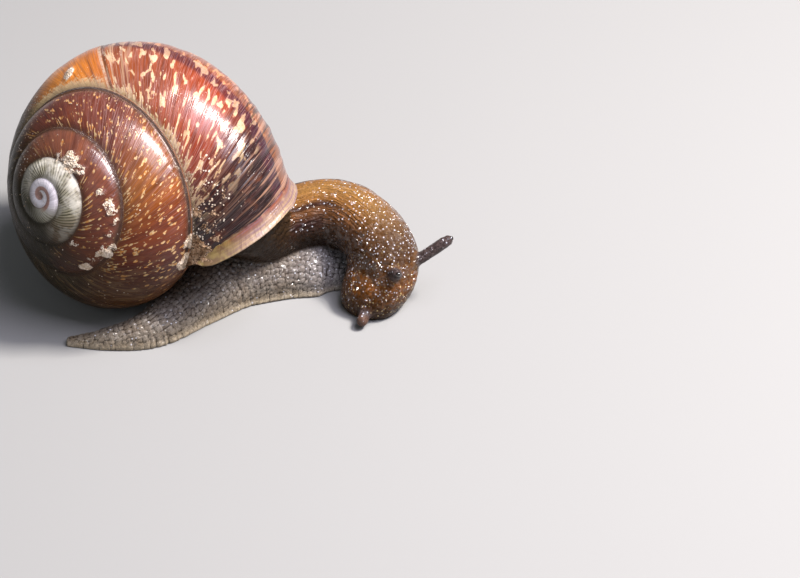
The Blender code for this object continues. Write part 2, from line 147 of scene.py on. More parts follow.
# ---- the shell's surface
def tube_centre(theta):
    """Centre (r, z) and size of the tube: both shrink as an exponential of the turns to the lip."""
    turns = theta / TURN - WHORLS
    size = np.exp(math.log(GROWTH) * turns + GROWTH_CHANGE * turns * turns)
    near_lip = np.clip(1 + turns / DROP_TURNS, 0, 1) ** 2
    r = TUBE_RADIUS * size + LIP_SPREAD * near_lip
    z = -TUBE_DEPTH * size ** DEPTH_POWER - LIP_DROP * near_lip
    return r, z, size


def tube_point(theta, alpha, outset=0.0):
    """Point (r, z) of the tilted oval section, grown by the outset; alpha 0 looks outwards."""
    r, z, size = tube_centre(theta)
    across = (TUBE_HALF_WIDTH * size + outset) * np.cos(alpha)
    along = (TUBE_HALF_HEIGHT * size + outset) * np.sin(alpha)
    return r + across * TILT_COS - along * TILT_SIN, z + across * TILT_SIN + along * TILT_COS


def inside_tube(theta, r, z):
    """Negative where (r, z) is inside the oval section at theta."""
    centre_r, centre_z, size = tube_centre(theta)
    across = (r - centre_r) * TILT_COS + (z - centre_z) * TILT_SIN
    along = (z - centre_z) * TILT_COS - (r - centre_r) * TILT_SIN
    return (across / (TUBE_HALF_WIDTH * size)) ** 2 + (along / (TUBE_HALF_HEIGHT * size)) ** 2 - 1


def first_crossing(values, angles):
    """For each row, the angle at which the values first turn negative, between two samples."""
    rows = np.arange(len(values))
    index = np.maximum(np.argmax(values < 0, axis=1), 1)
    before = values[rows, index - 1]
    after = values[rows, index]
    start = angles[rows, index - 1]
    return start + (angles[rows, index] - start) * before / (before - after)


def suture_angle(theta):
    """Where each whorl's upper side meets the whorl before it, or the axis."""
    angles = np.repeat(np.linspace(0, math.pi, 400)[None], len(theta), axis=0)
    r, z = tube_point(theta[:, None], angles)
    return first_crossing(np.minimum(inside_tube(theta[:, None] - TURN, r, z), r), angles)


def lower_angle(theta):
    """Where the next whorl, or its continuation, would cover this one."""
    top = suture_angle(theta)[:, None] - 0.02
    angles = top + (-0.9 * math.pi - top) * np.linspace(0, 1, 500)[None]
    r, z = tube_point(theta[:, None], angles)
    return first_crossing(inside_tube(theta[:, None] + TURN, r, z), angles)


def full_lean(drop):
    """How far a growth line leans back at an angle drop below the suture: an exponential rise."""
    return RIM_LEAN * (1 - np.exp(-drop / LEAN_DECAY))


def lean_share(theta):
    """How much of that lean the mesh columns take: eased in over the last half turn."""
    return smooth(0, 1, 1 + 2 * (theta / TURN - WHORLS))


def navel_drop(theta):
    """The angle below the suture at which a leaning column comes to the axis."""
    top = suture_angle(theta)[:, None]
    drops = np.repeat(np.linspace(0.5, 1.35 * math.pi, 500)[None], len(theta), axis=0)
    r, _ = tube_point(theta[:, None] - full_lean(drops) * lean_share(theta[:, None]), top - drops)
    return first_crossing(r, drops)


def shell_axes():
    """Unit vectors of the shell: underside of the axis, its side, and the axis itself."""
    outward = np.array([math.cos(AXIS_AZIMUTH), math.sin(AXIS_AZIMUTH), 0.0])
    up = np.array([0.0, 0.0, 1.0])
    axis = math.cos(AXIS_ELEVATION) * outward + math.sin(AXIS_ELEVATION) * up
    under = math.sin(AXIS_ELEVATION) * outward - math.cos(AXIS_ELEVATION) * up
    return under, np.cross(axis, under), axis


def shell_to_world(theta, r, z):
    """World place of (r, z) in the section at theta; the shell winds clockwise from the apex."""
    under, side, axis = shell_axes()
    azimuth = (LIP_AZIMUTH - (theta - WHORLS * TURN))[..., None]
    return APEX + r[..., None] * (np.cos(azimuth) * under + np.sin(azimuth) * side) + z[..., None] * axis


def shell_point(theta, drop, top, outset=0.0):
    """World place on the shell by winding angle and angle below the suture, leaned and outset."""
    leaned = theta - full_lean(drop) * lean_share(theta)
    r, z = tube_point(leaned, top - drop, outset)
    return shell_to_world(leaned, np.maximum(r, 0.0), z)


# ---- meshes
def make_piece(name, points, faces, mat, attributes=()):
    """A smooth-shaded object in metres from points in millimetres and faces of three or four.

    Each attribute is a number for every vertex, which materials read by name.
    """
    mesh = bpy.data.meshes.new(name)
    counts = np.array([len(group[0]) for group in faces for _ in range(len(group))], dtype=np.int32)
    corners = np.concatenate([group.ravel() for group in faces]).astype(np.int32)
    mesh.vertices.add(len(points))
    mesh.vertices.foreach_set("co", (np.asarray(points, dtype=np.float32) * MM).ravel())
    mesh.loops.add(len(corners))
    mesh.loops.foreach_set("vertex_index", corners)
    mesh.polygons.add(len(counts))
    mesh.polygons.foreach_set("loop_start", np.concatenate([[0], np.cumsum(counts)[:-1]]).astype(np.int32))
    mesh.update(calc_edges=True)
    mesh.validate()
    mesh.shade_smooth()
    for label, values in dict(attributes).items():
        attribute = mesh.attributes.new(label, "FLOAT", "POINT")
        attribute.data.foreach_set("value", np.ascontiguousarray(values, dtype=np.float32).ravel())
    mesh.materials.append(mat)
    piece = bpy.data.objects.new(name, mesh)
    bpy.context.scene.collection.objects.link(piece)
    return piece


def grid_faces(ids):
    """Four-cornered faces between neighbouring rows and columns of a grid of vertex numbers."""
    return np.stack([ids[:-1, :-1], ids[1:, :-1], ids[1:, 1:], ids[:-1, 1:]], axis=-1).reshape(-1, 4)


def split_faces(quads):
    """Quads with two corners on one vertex become triangles; those with fewer vanish."""
    shifted = np.roll(quads, -1, axis=1)
    same = quads == shifted
    whole = quads[same.sum(axis=1) == 0]
    once = same.sum(axis=1) == 1
    rows = quads[once]
    keep = ~same[once]
    return whole, rows[keep].reshape(-1, 3)


# ---- shading nodes
class Value:
    """What a node puts out: a number, colour or vector. Sums and products of it are more nodes."""

    def __init__(self, nodes, socket):
        self.nodes = nodes
        self.socket = socket

    def __add__(self, other):
        return self.nodes.maths("ADD", self, other)

    def __sub__(self, other):
        return self.nodes.maths("SUBTRACT", self, other)

    def __rsub__(self, other):
        return self.nodes.maths("SUBTRACT", other, self)

    def __mul__(self, other):
        return self.nodes.maths("MULTIPLY", self, other)

    def __rmul__(self, other):
        return self.nodes.maths("MULTIPLY", other, self)

    def __truediv__(self, other):
        return self.nodes.maths("DIVIDE", self, other)

    def ease(self, low, high, start=0.0, end=1.0):
        """start at low, end at high, eased between; low may be the larger."""
        return self.nodes.add("ShaderNodeMapRange", 0, {"interpolation_type": "SMOOTHSTEP"},
                              Value=self, From_Min=low, From_Max=high, To_Min=start, To_Max=end)

    def between(self, first, second, third, fourth):
        """Eased up from 0 to 1 over the first two, and down again over the last two."""
        return self.ease(first, second) * self.ease(fourth, third)

    def blend(self, other, share):
        """This number where the share is 0, the other where it is 1."""
        return self * (1.0 - share) + other * share

    def tinted(self, share, other):
        """This colour where the share is 0, the other where it is 1."""
        return self.nodes.mix(share, self, other)

    def ramp(self, stops):
        """Colours at places from 0 to 1, blended between."""
        node = self.nodes.tree.nodes.new("ShaderNodeValToRGB")
        elements = node.color_ramp.elements
        for index, (place, tint) in enumerate(stops):
            element = elements[index] if index < 2 else elements.new(place)
            element.position = place
            element.color = colour(*tint)
        self.nodes.put(node, "Fac", self)
        return Value(self.nodes, node.outputs[0])


class Nodes:
    """Adds nodes to one tree; an input given as a Value is linked, anything else is set."""

    def __init__(self, tree):
        self.tree = tree

    def put(self, node, key, value):
        """Sets or links an input: an i and its number, or its name with underscores for spaces."""
        socket = node.inputs[int(key[1:]) if key[1:].isdigit() else key.replace("_", " ")]
        if isinstance(value, Value):
            self.tree.links.new(value.socket, socket)
        else:
            socket.default_value = value

    def add(self, kind, output=0, settings=None, **inputs):
        """A node with its settings and inputs: one of its outputs, or all by name if None is asked."""
        node = self.tree.nodes.new(kind)
        for key, value in (settings or {}).items():
            setattr(node, key, value)
        for key, value in inputs.items():
            self.put(node, key, value)
        if output is None:
            return {socket.name: Value(self, socket) for socket in node.outputs}
        return Value(self, node.outputs[output])

    def attributes(self, *names):
        """The numbers that the mesh holds under these names."""
        return [self.add("ShaderNodeAttribute", 2, {"attribute_name": name}) for name in names]

    def maths(self, operation, first, second=0.0):
        """One operation on numbers."""
        return self.add("ShaderNodeMath", 0, {"operation": operation}, i0=first, i1=second)

    def most(self, first, second):
        """The larger of two numbers."""
        return self.maths("MAXIMUM", first, second)

    def mix(self, share, first, second):
        """The first colour where the share is 0, the second where it is 1; 0 to 255 if plain."""
        pair = [tint if isinstance(tint, Value) else colour(*tint) for tint in (first, second)]
        return self.add("ShaderNodeMix", 2, {"data_type": "RGBA"}, i0=share, i6=pair[0], i7=pair[1])

    def red(self, tint):
        """One number from a colour: its red."""
        return self.add("ShaderNodeSeparateColor", 0, Color=tint)

    def vector(self, x, y, z=0.0):
        """A vector from its three parts."""
        return self.add("ShaderNodeCombineXYZ", 0, X=x, Y=y, Z=z)

    def vector_maths(self, operation, first, second, output=0):
        """One operation on vectors."""
        return self.add("ShaderNodeVectorMath", output, {"operation": operation}, i0=first, i1=second)

    def noise(self, vector, scale, detail=2.0, roughness=0.5, distortion=0.0):
        """Smooth noise from 0 to 1, about 0.5 in the middle."""
        return self.add("ShaderNodeTexNoise", 0, Vector=vector, Scale=scale, Detail=detail,
                        Roughness=roughness, Distortion=distortion)

    def cells(self, vector, scale, feature="F1", randomness=1.0, output=0):
        """Scattered points: the distance to the nearest, or another output or feature of them."""
        return self.add("ShaderNodeTexVoronoi", output, {"feature": feature},
                        Vector=vector, Scale=scale, Randomness=randomness)

    def object_place(self):
        """Object coordinates in millimetres."""
        place = self.add("ShaderNodeTexCoord", 3)
        return self.add("ShaderNodeVectorMath", 0, {"operation": "SCALE"}, i0=place, Scale=1 / MM)

    def bump(self, height, strength, distance):
        """A normal tilted by the height's slope; the distance in metres scales the height."""
        return self.add("ShaderNodeBump", 0, Height=height, Strength=strength, Distance=distance)


def colour(red, green, blue):
    """A colour given as it looks on a screen, 0 to 255, made linear."""
    return tuple(((part / 255 + 0.055) / 1.055) ** 2.4 for part in (red, green, blue)) + (1.0,)


def new_material(name, **constants):
    """A material, its nodes and its shader, with the shader's constants set."""
    mat = bpy.data.materials.new(name)
    mat.use_nodes = True
    shader = mat.node_tree.nodes["Principled BSDF"]
    for key, value in constants.items():
        shader.inputs[key.replace("_", " ")].default_value = value
    return mat, Nodes(mat.node_tree), shader


# ---- shell
def shell_grid():
    """Angles of the shell's mesh: columns along the spiral, rows from the suture down."""
    end = WHORLS * TURN - 0.3 * LIP_WIDTH / (TUBE_RADIUS + TUBE_HALF_WIDTH)
    count = int(round((end / TURN - SHELL_START) * SHELL_COLUMNS))
    theta = end - (count - np.arange(count + 1)) * TURN / SHELL_COLUMNS
    return theta, suture_angle(theta), lower_angle(theta)


def spot_place(turn, drop):
    """World place on the shell at a turn of the spiral and degrees below the suture."""
    theta = np.array([turn * TURN])
    return shell_point(theta, np.radians([drop]), suture_angle(theta))[0]


def soil_height(place):
    """Height of the caked soil in millimetres: lumpy mounds round the soiled spots."""
    ragged = 0.25 * noise(place / 0.5, 71) + 0.30 * noise(place / 0.25, 72)
    lumps = 0.75 + 0.35 * noise(place / 0.25, 73)
    height = np.zeros(place.shape[:-1])
    for turn, drop, radius, thickness in SOIL_SPOTS:
        away = np.linalg.norm(place - spot_place(turn, drop), axis=-1) / radius
        height = np.maximum(height, thickness * smooth(1.25, 0.45, away + ragged) * lumps)
    return height


def shell_relief(growth_mm, across_mm, turn, growth_turn, place):
    """Height of the shell's surface detail in millimetres: growth ridges, checks and dents.

    Noise drawn out along the growth lines plus dents of plain noise, both growing with the whorl and
    rougher at the lip; ribs from a sine on the old whorls; a bell-shaped line and a step down where
    growth once stopped and started again.
    """
    size = np.clip((np.maximum(turn, 0) / WHORLS) ** 1.5, 0.08, 1)
    fine = noise(np.stack([growth_mm / 0.36, across_mm / 5.0], -1), 3)
    broad = noise(np.stack([growth_mm / 1.3, across_mm / 8.0], -1), 4)
    dents = noise(place / 1.6, 5)
    near_lip = smooth(*LIP_ZONE, growth_turn)
    ridges = noise(np.stack([growth_mm / 0.5, across_mm / 4.0], -1), 6)
    rough = noise(place / 0.4, 7)
    halt = np.exp(-((growth_turn - GROWTH_HALT) * HALT_TURN / HALT_WIDTH) ** 2)
    after_halt = smooth(GROWTH_HALT - HALT_STEP, GROWTH_HALT, growth_turn)
    fading = 1 - 0.75 * smooth(7.0, 11.0, across_mm)
    ribs = np.exp(-((turn - 1.8) / 0.35) ** 2) * np.sin(growth_mm / 0.2 * TURN / 2)
    return (size * (0.014 * fine + 0.022 * broad + 0.02 * dents) + 0.012 * ribs
            + near_lip * (0.06 * ridges + 0.03 * dents + 0.015 * rough)
            + (0.06 * halt - 0.05 * after_halt) * fading)


def build_shell(mat):
    """All whorls in one closed surface.

    Each column crosses the tube's oval from suture to suture, and on the last turn on to the navel.
    The first row of a column is the last row of the column one turn before, so the whorls join.
    The mouth is lined by the tube's inner wall and the wall of the whorl before it.
    """
    theta, top, low = shell_grid()
    count = len(theta) - 1
    first_last = count - SHELL_COLUMNS
    reach = top - low
    rows = SPIRE_ROWS + BASE_ROWS
    grown = smooth(0, 1, np.arange(count + 1) / (0.5 * SHELL_COLUMNS))
    start = reach * (1 - grown)
    share = np.linspace(0, 1, SPIRE_ROWS + 1)
    drops = start[:, None] + (reach - start)[:, None] * share[None]
    base_share = np.linspace(0, 1, BASE_ROWS + 1)[1:]
    navel = np.zeros(count + 1)
    navel[first_last:] = navel_drop(theta[first_last:])
    base = reach[:, None] + (navel - reach)[:, None] * base_share[None]
    drops = np.concatenate([drops, base], axis=1)

    thetas = np.repeat(theta[:, None], rows + 1, axis=1)
    tops = np.repeat(top[:, None], rows + 1, axis=1)
    flat = shell_point(thetas, drops, tops)
    across = np.concatenate([np.zeros((count + 1, 1)),
                             np.cumsum(np.linalg.norm(np.diff(flat, axis=1), axis=-1), axis=1)], axis=1)
    azimuth_turn = (thetas - full_lean(drops) * lean_share(thetas)) / TURN
    growth_turn = azimuth_turn + full_lean(drops) / TURN
    steps = np.linspace(SHELL_START - 1, WHORLS + 1, 2000)
    centre_r, _, size = tube_centre(steps * TURN)
    lengths = np.cumsum((centre_r + TUBE_HALF_WIDTH * size)[1:] * TURN * np.diff(steps))
    growth_mm = np.interp(growth_turn, steps, np.concatenate([[0], lengths]))

    section = tube_centre(thetas)[2]
    relief = shell_relief(growth_mm, across, azimuth_turn, growth_turn, flat)
    groove_width = 0.35 * (0.25 + section) / (section * TUBE_HALF_HEIGHT)
    groove = np.exp(-(drops / groove_width) ** 1.5)
    covered = smooth(first_last + 8, first_last - 8, np.arange(count + 1))[:, None]
    lower = np.where(np.arange(rows + 1)[None] <= SPIRE_ROWS, reach[:, None] - drops, 9.0)
    groove = np.maximum(groove, covered * np.exp(-(np.maximum(lower, 0) / groove_width) ** 1.5))
    soil = soil_height(flat)
    relief = relief * (1 - groove) - SUTURE_DEPTH * section * groove + soil
    points = shell_point(thetas, drops, tops, relief)
    points[..., 2] = np.maximum(points[..., 2], 0.0)

    ids = np.arange(points[..., 0].size).reshape(points.shape[:2])
    ids[0, :SPIRE_ROWS + 1] = ids[0, 0]
    ids[SHELL_COLUMNS:, 0] = ids[:-SHELL_COLUMNS, SPIRE_ROWS]
    quads = [grid_faces(ids[:, :SPIRE_ROWS + 1]), grid_faces(ids[first_last:, SPIRE_ROWS:])]
    extra = [points.reshape(-1, 3)]
    marks = []                  # the turn, and 1 inside the mouth, of each point past the grid's own

    def add_points(more, turn, inside=0.0):
        """Keeps more points and gives their vertex numbers."""
        first = sum(len(group) for group in extra)
        extra.append(more)
        marks.append(np.full((len(more), 2), (turn, inside)))
        return first + np.arange(len(more))

    nucleus = ids[:SHELL_COLUMNS, 0]
    hub = add_points(shell_to_world(np.zeros(1), np.zeros(1), np.array([NUCLEUS_RISE])), SHELL_START)
    triangles = [np.stack([nucleus, np.repeat(hub, len(nucleus)), np.roll(nucleus, -1)], -1)]

    # The navel's line, closed by a thin fan just inside the shell.
    line = ids[first_last:, -1]
    aside = shell_to_world(np.array([theta[-1] + math.pi]), np.array([0.2]), np.zeros(1))
    aside = aside - shell_to_world(np.zeros(1), np.zeros(1), np.zeros(1))
    middle = add_points(points[first_last:, -1].mean(axis=0) + aside, WHORLS)
    triangles.append(np.stack([line, np.roll(line, -1), np.repeat(middle, len(line))], -1))

    # The mouth: rings of the outer wall's inside and the parietal wall, going in.
    rings = [np.concatenate([ids[-1], ids[first_last, SPIRE_ROWS + 1:][::-1]])]
    for back, wall in MOUTH_RINGS:
        inner = np.full(rows + 1, theta[-1] - math.radians(back))
        old = np.full(BASE_ROWS, theta[first_last] - math.radians(back))
        inner_points = shell_point(inner, drops[-1], np.repeat(suture_angle(inner[:1]), rows + 1), wall)
        old_top = np.repeat(suture_angle(old[:1]), BASE_ROWS)
        old_points = shell_point(old, drops[first_last, SPIRE_ROWS + 1:], old_top)[::-1]
        ring = np.concatenate([inner_points, old_points])
        ring[:, 2] = np.maximum(ring[:, 2], OFF_FLOOR)
        rings.append(add_points(ring, WHORLS, 1.0))
    rings = np.array(rings)
    rings = np.concatenate([rings, rings[:, :1]], axis=1)
    quads.append(grid_faces(rings))
    end = add_points(extra[-1].mean(axis=0)[None], WHORLS, 1.0)
    triangles.append(np.stack([rings[-1, :-1], np.repeat(end, rings.shape[1] - 1), rings[-1, 1:]], -1))

    whole, halves = split_faces(np.concatenate(quads))
    faces = [whole, np.concatenate([halves] + triangles)]
    all_points = np.concatenate(extra)
    used = np.unique(np.concatenate([face.ravel() for face in faces]))
    renumber = np.zeros(len(all_points), dtype=np.int64)
    renumber[used] = np.arange(len(used))
    past_turn, past_inside = np.concatenate(marks).T
    none = np.zeros(len(past_turn))
    values = {
        "growth_mm": (growth_mm, none),
        "across_mm": (across, none),
        "growth_turn": (growth_turn, past_turn),
        "drop": (np.degrees(drops), none),
        "soil": (soil / SOIL_FULL, none),
        "groove": (groove, none),
        "inside": (0 * drops, past_inside),
    }
    values = {label: np.concatenate([own.ravel(), past])[used] for label, (own, past) in values.items()}
    return make_piece("shell", all_points[used], [renumber[face] for face in faces], mat, values)


# The lip's section: how far ahead of the rim, and how far out of the whorl, in millimetres.
LIP_PROFILE = (
    (-1.30, -0.16), (-1.00, -0.01), (-0.70, 0.06), (-0.38, 0.16), (-0.08, 0.32), (0.16, 0.50), (0.27, 0.54),
    (0.31, 0.44), (0.20, 0.24), (-0.02, 0.00), (-0.28, -0.24), (-0.60, -0.42), (-1.00, -0.52), (-1.30, -0.36),
)
LIP_SECTIONS = 260              # sections round the rim
LIP_SPAN = 6                    # points between two corners of the section
LIP_REACH = 6.5                 # the tube's radius there, for lengths round the rim


def rounded_loop(corners, spans):
    """A closed Catmull-Rom curve through the corners."""
    here = np.array(corners, dtype=float)[:, None]
    before, after, beyond = (np.roll(here, shift, axis=0) for shift in (1, -1, -2))
    t = (np.arange(spans) / spans)[None, :, None]
    return curve(before, here, after, beyond, t).reshape(-1, 2)


def build_lip(mat):
    """The turned-out lip: a rounded section carried round the rim, closed to a point at both ends.

    Lines along the rim and fine ribs across it are noise added to the section's outset.
    """
    profile = rounded_loop(LIP_PROFILE, LIP_SPAN)
    drops = np.linspace(LIP_START - math.radians(4.0), LIP_END + math.radians(3.0), LIP_SECTIONS + 1)
    swell = smooth(0, math.radians(16.0), drops - drops[0]) ** 0.5
    taper = smooth(0, math.radians(26.0), drops[-1] - drops) ** 0.5
    size = (0.02 + 0.98 * swell * taper)[:, None]
    centre = np.array([-0.6, -0.2])
    ahead = centre[0] + (profile[None, :, 0] - centre[0]) * size
    out = centre[1] + (profile[None, :, 1] - centre[1]) * size
    grid_drops = np.repeat(drops[:, None], len(profile), axis=1)
    rim_mm = grid_drops * LIP_REACH
    lines = noise(np.stack([ahead / 0.11, rim_mm / 3.5], -1), 81)
    ribs = noise(np.stack([ahead / 0.9, rim_mm / 0.17], -1), 82)
    waves = noise(np.stack([ahead / 3.0, rim_mm / 1.3], -1), 83)
    wander = noise(np.stack([0 * ahead, rim_mm / 1.1], -1), 84)
    outer = smooth(-0.15, 0.1, out)
    relief = (0.022 * lines * outer + 0.016 * ribs + 0.03 * waves) * size
    front = WHORLS * TURN
    rim_top = suture_angle(np.array([front]))
    rim_r, _ = tube_point(np.full_like(drops, front), rim_top - drops)
    theta = front + (ahead + 0.05 * wander * size) / np.maximum(rim_r, 3.5)[:, None]
    points = shell_point(theta, grid_drops, np.full_like(theta, rim_top[0]), out + relief)
    points[..., 2] = np.maximum(points[..., 2], 0.0)
    ids = np.arange(theta.size).reshape(theta.shape)
    rings = np.concatenate([ids, ids[:, :1]], axis=1)
    caps = points[[0, -1]].mean(axis=1)
    fans = []
    for row, tip in ((rings[0], theta.size), (rings[-1][::-1], theta.size + 1)):
        fans.append(np.stack([row[:-1], np.full(len(profile), tip), row[1:]], -1))
    share = np.repeat(np.linspace(0, 1, len(profile), endpoint=False)[None], len(drops), axis=0)
    soil = np.clip(soil_height(points) / SOIL_FULL, 0, 1)
    values = {"rim_mm": rim_mm, "ahead_mm": ahead, "profile": share, "soil": soil}
    return make_piece("shell_lip_piece", np.concatenate([points.reshape(-1, 3), caps]),
                      [grid_faces(rings)[:, ::-1], np.concatenate(fans)], mat,
                      {label: np.append(own.ravel(), (0.0, 0.0)) for label, own in values.items()})


def build_eye(name, centre, radius, mat):
    """A closed ball: rings of points between two poles."""
    rows, columns = 24, 40
    tilt = np.linspace(0, math.pi, rows + 1)[1:-1, None]
    turn = TURN * np.arange(columns)[None] / columns
    rings = np.stack([np.sin(tilt) * np.cos(turn), np.sin(tilt) * np.sin(turn), np.cos(tilt) + 0 * turn], -1)
    points = np.concatenate([rings.reshape(-1, 3), [[0, 0, 1], [0, 0, -1]]]) * radius + centre
    ids = np.arange(rings.shape[0] * columns).reshape(-1, columns)
    ids = np.concatenate([ids, ids[:, :1]], axis=1)
    first, last = ids[0], ids[-1]
    north, south = ids.max() + 1, ids.max() + 2
    fans = np.concatenate([np.stack([np.full(columns, north), first[:-1], first[1:]], -1),
                           np.stack([np.full(columns, south), last[1:], last[:-1]], -1)])
    return make_piece(name, points, [grid_faces(ids), fans], mat)


# ---- flesh, on paths close to the CAD's
SKIN_STEP = 0.106               # the grid's step for the skin's net
SKIN_LOW = (-12.3, -9.4)        # the grid's corner, and the corner across from it
SKIN_HIGH = (16.6, 5.2, 9.9)
NUDGE = 0.02                    # share of a step by which a grid value is moved past zero
PINCH_ROUNDS = 4                # times that pinches are looked for and filled at most
RELIEF_SINK = 0.05              # the relief stands on a skin sunk by this much
PART_BLEND = 0.07               # distance over which the parts' patterns fade into each other
MANTLE_GAP = 0.45               # between the mantle and the shell's inner wall
MANTLE_OLD_GAP = 0.05           # between it and the whorl before
MANTLE_DEPTH = 3.2              # how far in its back lies, and how far behind the rim its front
MANTLE_FRONT = 1.1
MANTLE_ROUND = 0.9              # rounding of its front edge
TUBE_MEAN = 6.0                 # about the tube's half width at the lip, which turns ratios to lengths
MIDDLE = np.array([0.17, -0.01, 0.0])   # the paths below are measured before the model is centred
# A station: position, heading in degrees, half width, height above and below the position.
FOOT_PATH = [
    ((-11.2, -8.3, 0.30), 4, 0.30, 0.25, 0.6),
    ((-8.2, -8.1, 0.35), 10, 0.95, 0.90, 0.8),
    ((-5.2, -7.1, 0.40), 30, 1.70, 1.40, 0.9),
    ((-2.8, -4.2, 0.45), 38, 2.65, 2.10, 1.0),
    ((0.15, -1.0, 0.45), 25, 3.60, 3.10, 1.0),
    ((3.8, 0.4, 0.45), 8, 3.80, 2.95, 1.0),
    ((6.6, 0.45, 0.45), 0, 3.55, 2.60, 1.0),
    ((8.0, 0.35, 0.45), 0, 2.75, 2.00, 1.0),
]
TRUNK_PATH = [
    ((1.45, -1.3, 6.9), 82, 3.0, 3.7, 2.9),
    ((1.5, -1.2, 5.65), 82, 3.0, 3.7, 2.9),
    ((1.6, -0.9, 4.7), 82, 3.0, 3.2, 2.4),
    ((1.8, -0.4, 3.5), 82, 2.9, 2.7, 2.0),
    ((1.9, -0.2, 2.2), 82, 2.6, 2.3, 1.9),
]
NECK_PATH = [
    ((1.8, -0.3, 4.0), 28, 2.6, 1.5, 2.5),
    ((3.4, 0.5, 4.2), 24, 2.65, 1.9, 2.6),
    ((5.3, 1.3, 4.3), 14, 2.65, 2.3, 2.6),
    ((7.4, 1.65, 4.3), -6, 2.6, 2.55, 2.6),
    ((9.4, 0.7, 4.35), -26, 2.55, 2.55, 2.55),
    ((11.0, -1.1, 4.0), -34, 2.45, 2.45, 2.45),
    ((11.8, -2.5, 3.2), -34, 2.4, 2.35, 2.5),
    ((11.85, -3.4, 2.1), -32, 2.25, 2.05, 2.4),
    ((11.1, -4.0, 1.0), -20, 2.05, 1.95, 2.4),
    ((10.9, -4.0, 0.2), -18, 1.75, 1.6, 2.1),
]
THROAT_PATH = [                 # fills the corner between the head and the front of the foot
    ((10.6, -1.6, 3.3), -34, 1.5, 1.0, 1.3),
    ((10.5, -2.3, 2.3), -30, 1.8, 1.2, 1.6),
    ((10.2, -3.1, 1.2), -24, 1.9, 1.2, 1.6),
    ((9.9, -3.5, 0.3), -20, 1.8, 1.2, 1.6),
]
FEELER_PATHS = {
    "upper_left": (((12.4, -3.9, 2.7), 0.50), ((12.9, -3.6, 3.1), 0.46), ((14.4, -3.1, 3.9), 0.45),
                   ((15.4, -2.8, 4.5), 0.44), ((15.9, -2.65, 4.8), 0.45), ((16.2, -2.53, 4.95), 0.40)),
    "upper_right": (((12.0, -3.9, 2.9), 0.60), ((12.2, -4.4, 3.3), 0.53), ((12.4, -5.2, 3.95), 0.46),
                    ((12.5, -5.5, 4.2), 0.42)),
    "lower_left": (((12.0, -3.2, 1.1), 0.50), ((12.6, -2.3, 0.95), 0.45), ((13.1, -1.75, 0.75), 0.45),
                   ((13.3, -1.5, 0.64), 0.43)),
    "lower_right": (((11.2, -4.2, 1.05), 0.50), ((10.9, -4.6, 0.95), 0.45), ((10.25, -5.7, 0.8), 0.45),
                    ((9.98, -6.5, 0.64), 0.43)),
}


BODY_TOP = 9.6                  # the body ends at this height, hidden in the shell
LOWER_TIPS = [np.array(FEELER_PATHS[name][-1][0]) - MIDDLE for name in ("lower_left", "lower_right")]


class Sweep:
    """A body carried along a smooth path: half ovals, above and below, that change along it."""

    def __init__(self, stations, spans=5, wide=1.0, grow=0.0, tips=(1.0, 1.0)):
        rows = [np.array([*place, *rest], dtype=float) for place, *rest in stations]
        rows = [2 * rows[0] - rows[1]] + rows + [2 * rows[-1] - rows[-2]]
        filled = []
        for before, start, end, after in zip(rows, rows[1:], rows[2:], rows[3:]):
            for t in np.arange(spans) / spans:
                filled.append(curve(before, start, end, after, t))
        filled = np.array(filled + [rows[-2]])
        self.place = filled[:, :3] - MIDDLE
        heading = np.radians(filled[:, 3])
        self.ahead = np.gradient(self.place, axis=0)
        self.ahead /= np.linalg.norm(self.ahead, axis=1, keepdims=True)
        lateral = np.stack([-np.sin(heading), np.cos(heading), np.zeros_like(heading)], -1)
        self.dorsal = np.cross(self.ahead, lateral)
        self.dorsal /= np.linalg.norm(self.dorsal, axis=1, keepdims=True)
        self.lateral = np.cross(self.dorsal, self.ahead)
        self.sizes = filled[:, 4:7] * np.array([wide, 1.0, 1.0]) + grow
        self.length = np.concatenate([[0], np.cumsum(np.linalg.norm(np.diff(self.place, axis=0), axis=1))])
        self.tips = tips

    def measure(self, points):
        """Distance to the body's surface, and where each point lies: along it and around it.

        The nearest place on the path gives the section; inside it the distance is that to an oval,
        worked out from how the oval's equation changes, and past an end it is that to an ellipsoid.
        """
        start = self.place[:-1]
        step = self.place[1:] - start
        best = np.full(len(points), 1e9)
        segment = np.zeros(len(points), dtype=np.int64)
        part = np.zeros(len(points))
        for index in range(len(start)):
            offset = points - start[index]
            t = np.clip(offset @ step[index] / (step[index] @ step[index]), 0, 1)
            distance = ((offset - t[:, None] * step[index]) ** 2).sum(axis=1)
            nearer = distance < best
            best[nearer] = distance[nearer]
            segment[nearer] = index
            part[nearer] = t[nearer]
        blend = part[:, None]
        tables = (self.place, self.lateral, self.dorsal, self.ahead, self.sizes)
        place, *axes, sizes = (table[segment] * (1 - blend) + table[segment + 1] * blend for table in tables)
        side, rise, beyond = (((points - place) * axis).sum(axis=1) for axis in axes)
        wide = sizes[:, 0]
        high = np.where(rise > 0, sizes[:, 1], sizes[:, 2])
        cap = np.where(segment < len(start) / 2, *self.tips)
        cap = cap * np.minimum(wide, np.minimum(sizes[:, 1], sizes[:, 2]))
        ratio = np.sqrt((side / wide) ** 2 + (rise / high) ** 2 + (beyond / cap) ** 2)
        slope = np.sqrt((side / wide ** 2) ** 2 + (rise / high ** 2) ** 2 + (beyond / cap ** 2) ** 2)
        distance = np.where(slope > 1e-6, (ratio - 1) * ratio / np.maximum(slope, 1e-6), -cap)
        along = self.length[segment] * (1 - part) + self.length[segment + 1] * part + beyond
        angle = np.arctan2(side, rise)
        around = angle * 0.5 * (wide + sizes[:, 1])
        return distance, along, around, angle


def blend_union(first, second, width):
    """The smaller distance, rounded off where the two are within the width of each other."""
    part = np.maximum(width - np.abs(first - second), 0) / width
    return np.minimum(first, second) - part * part * width / 4


def feeler_sweep(points):
    """A round feeler: its path points as stations with equal half widths."""
    return Sweep([(place, 0.0, radius, radius, radius) for place, radius in points], spans=4)


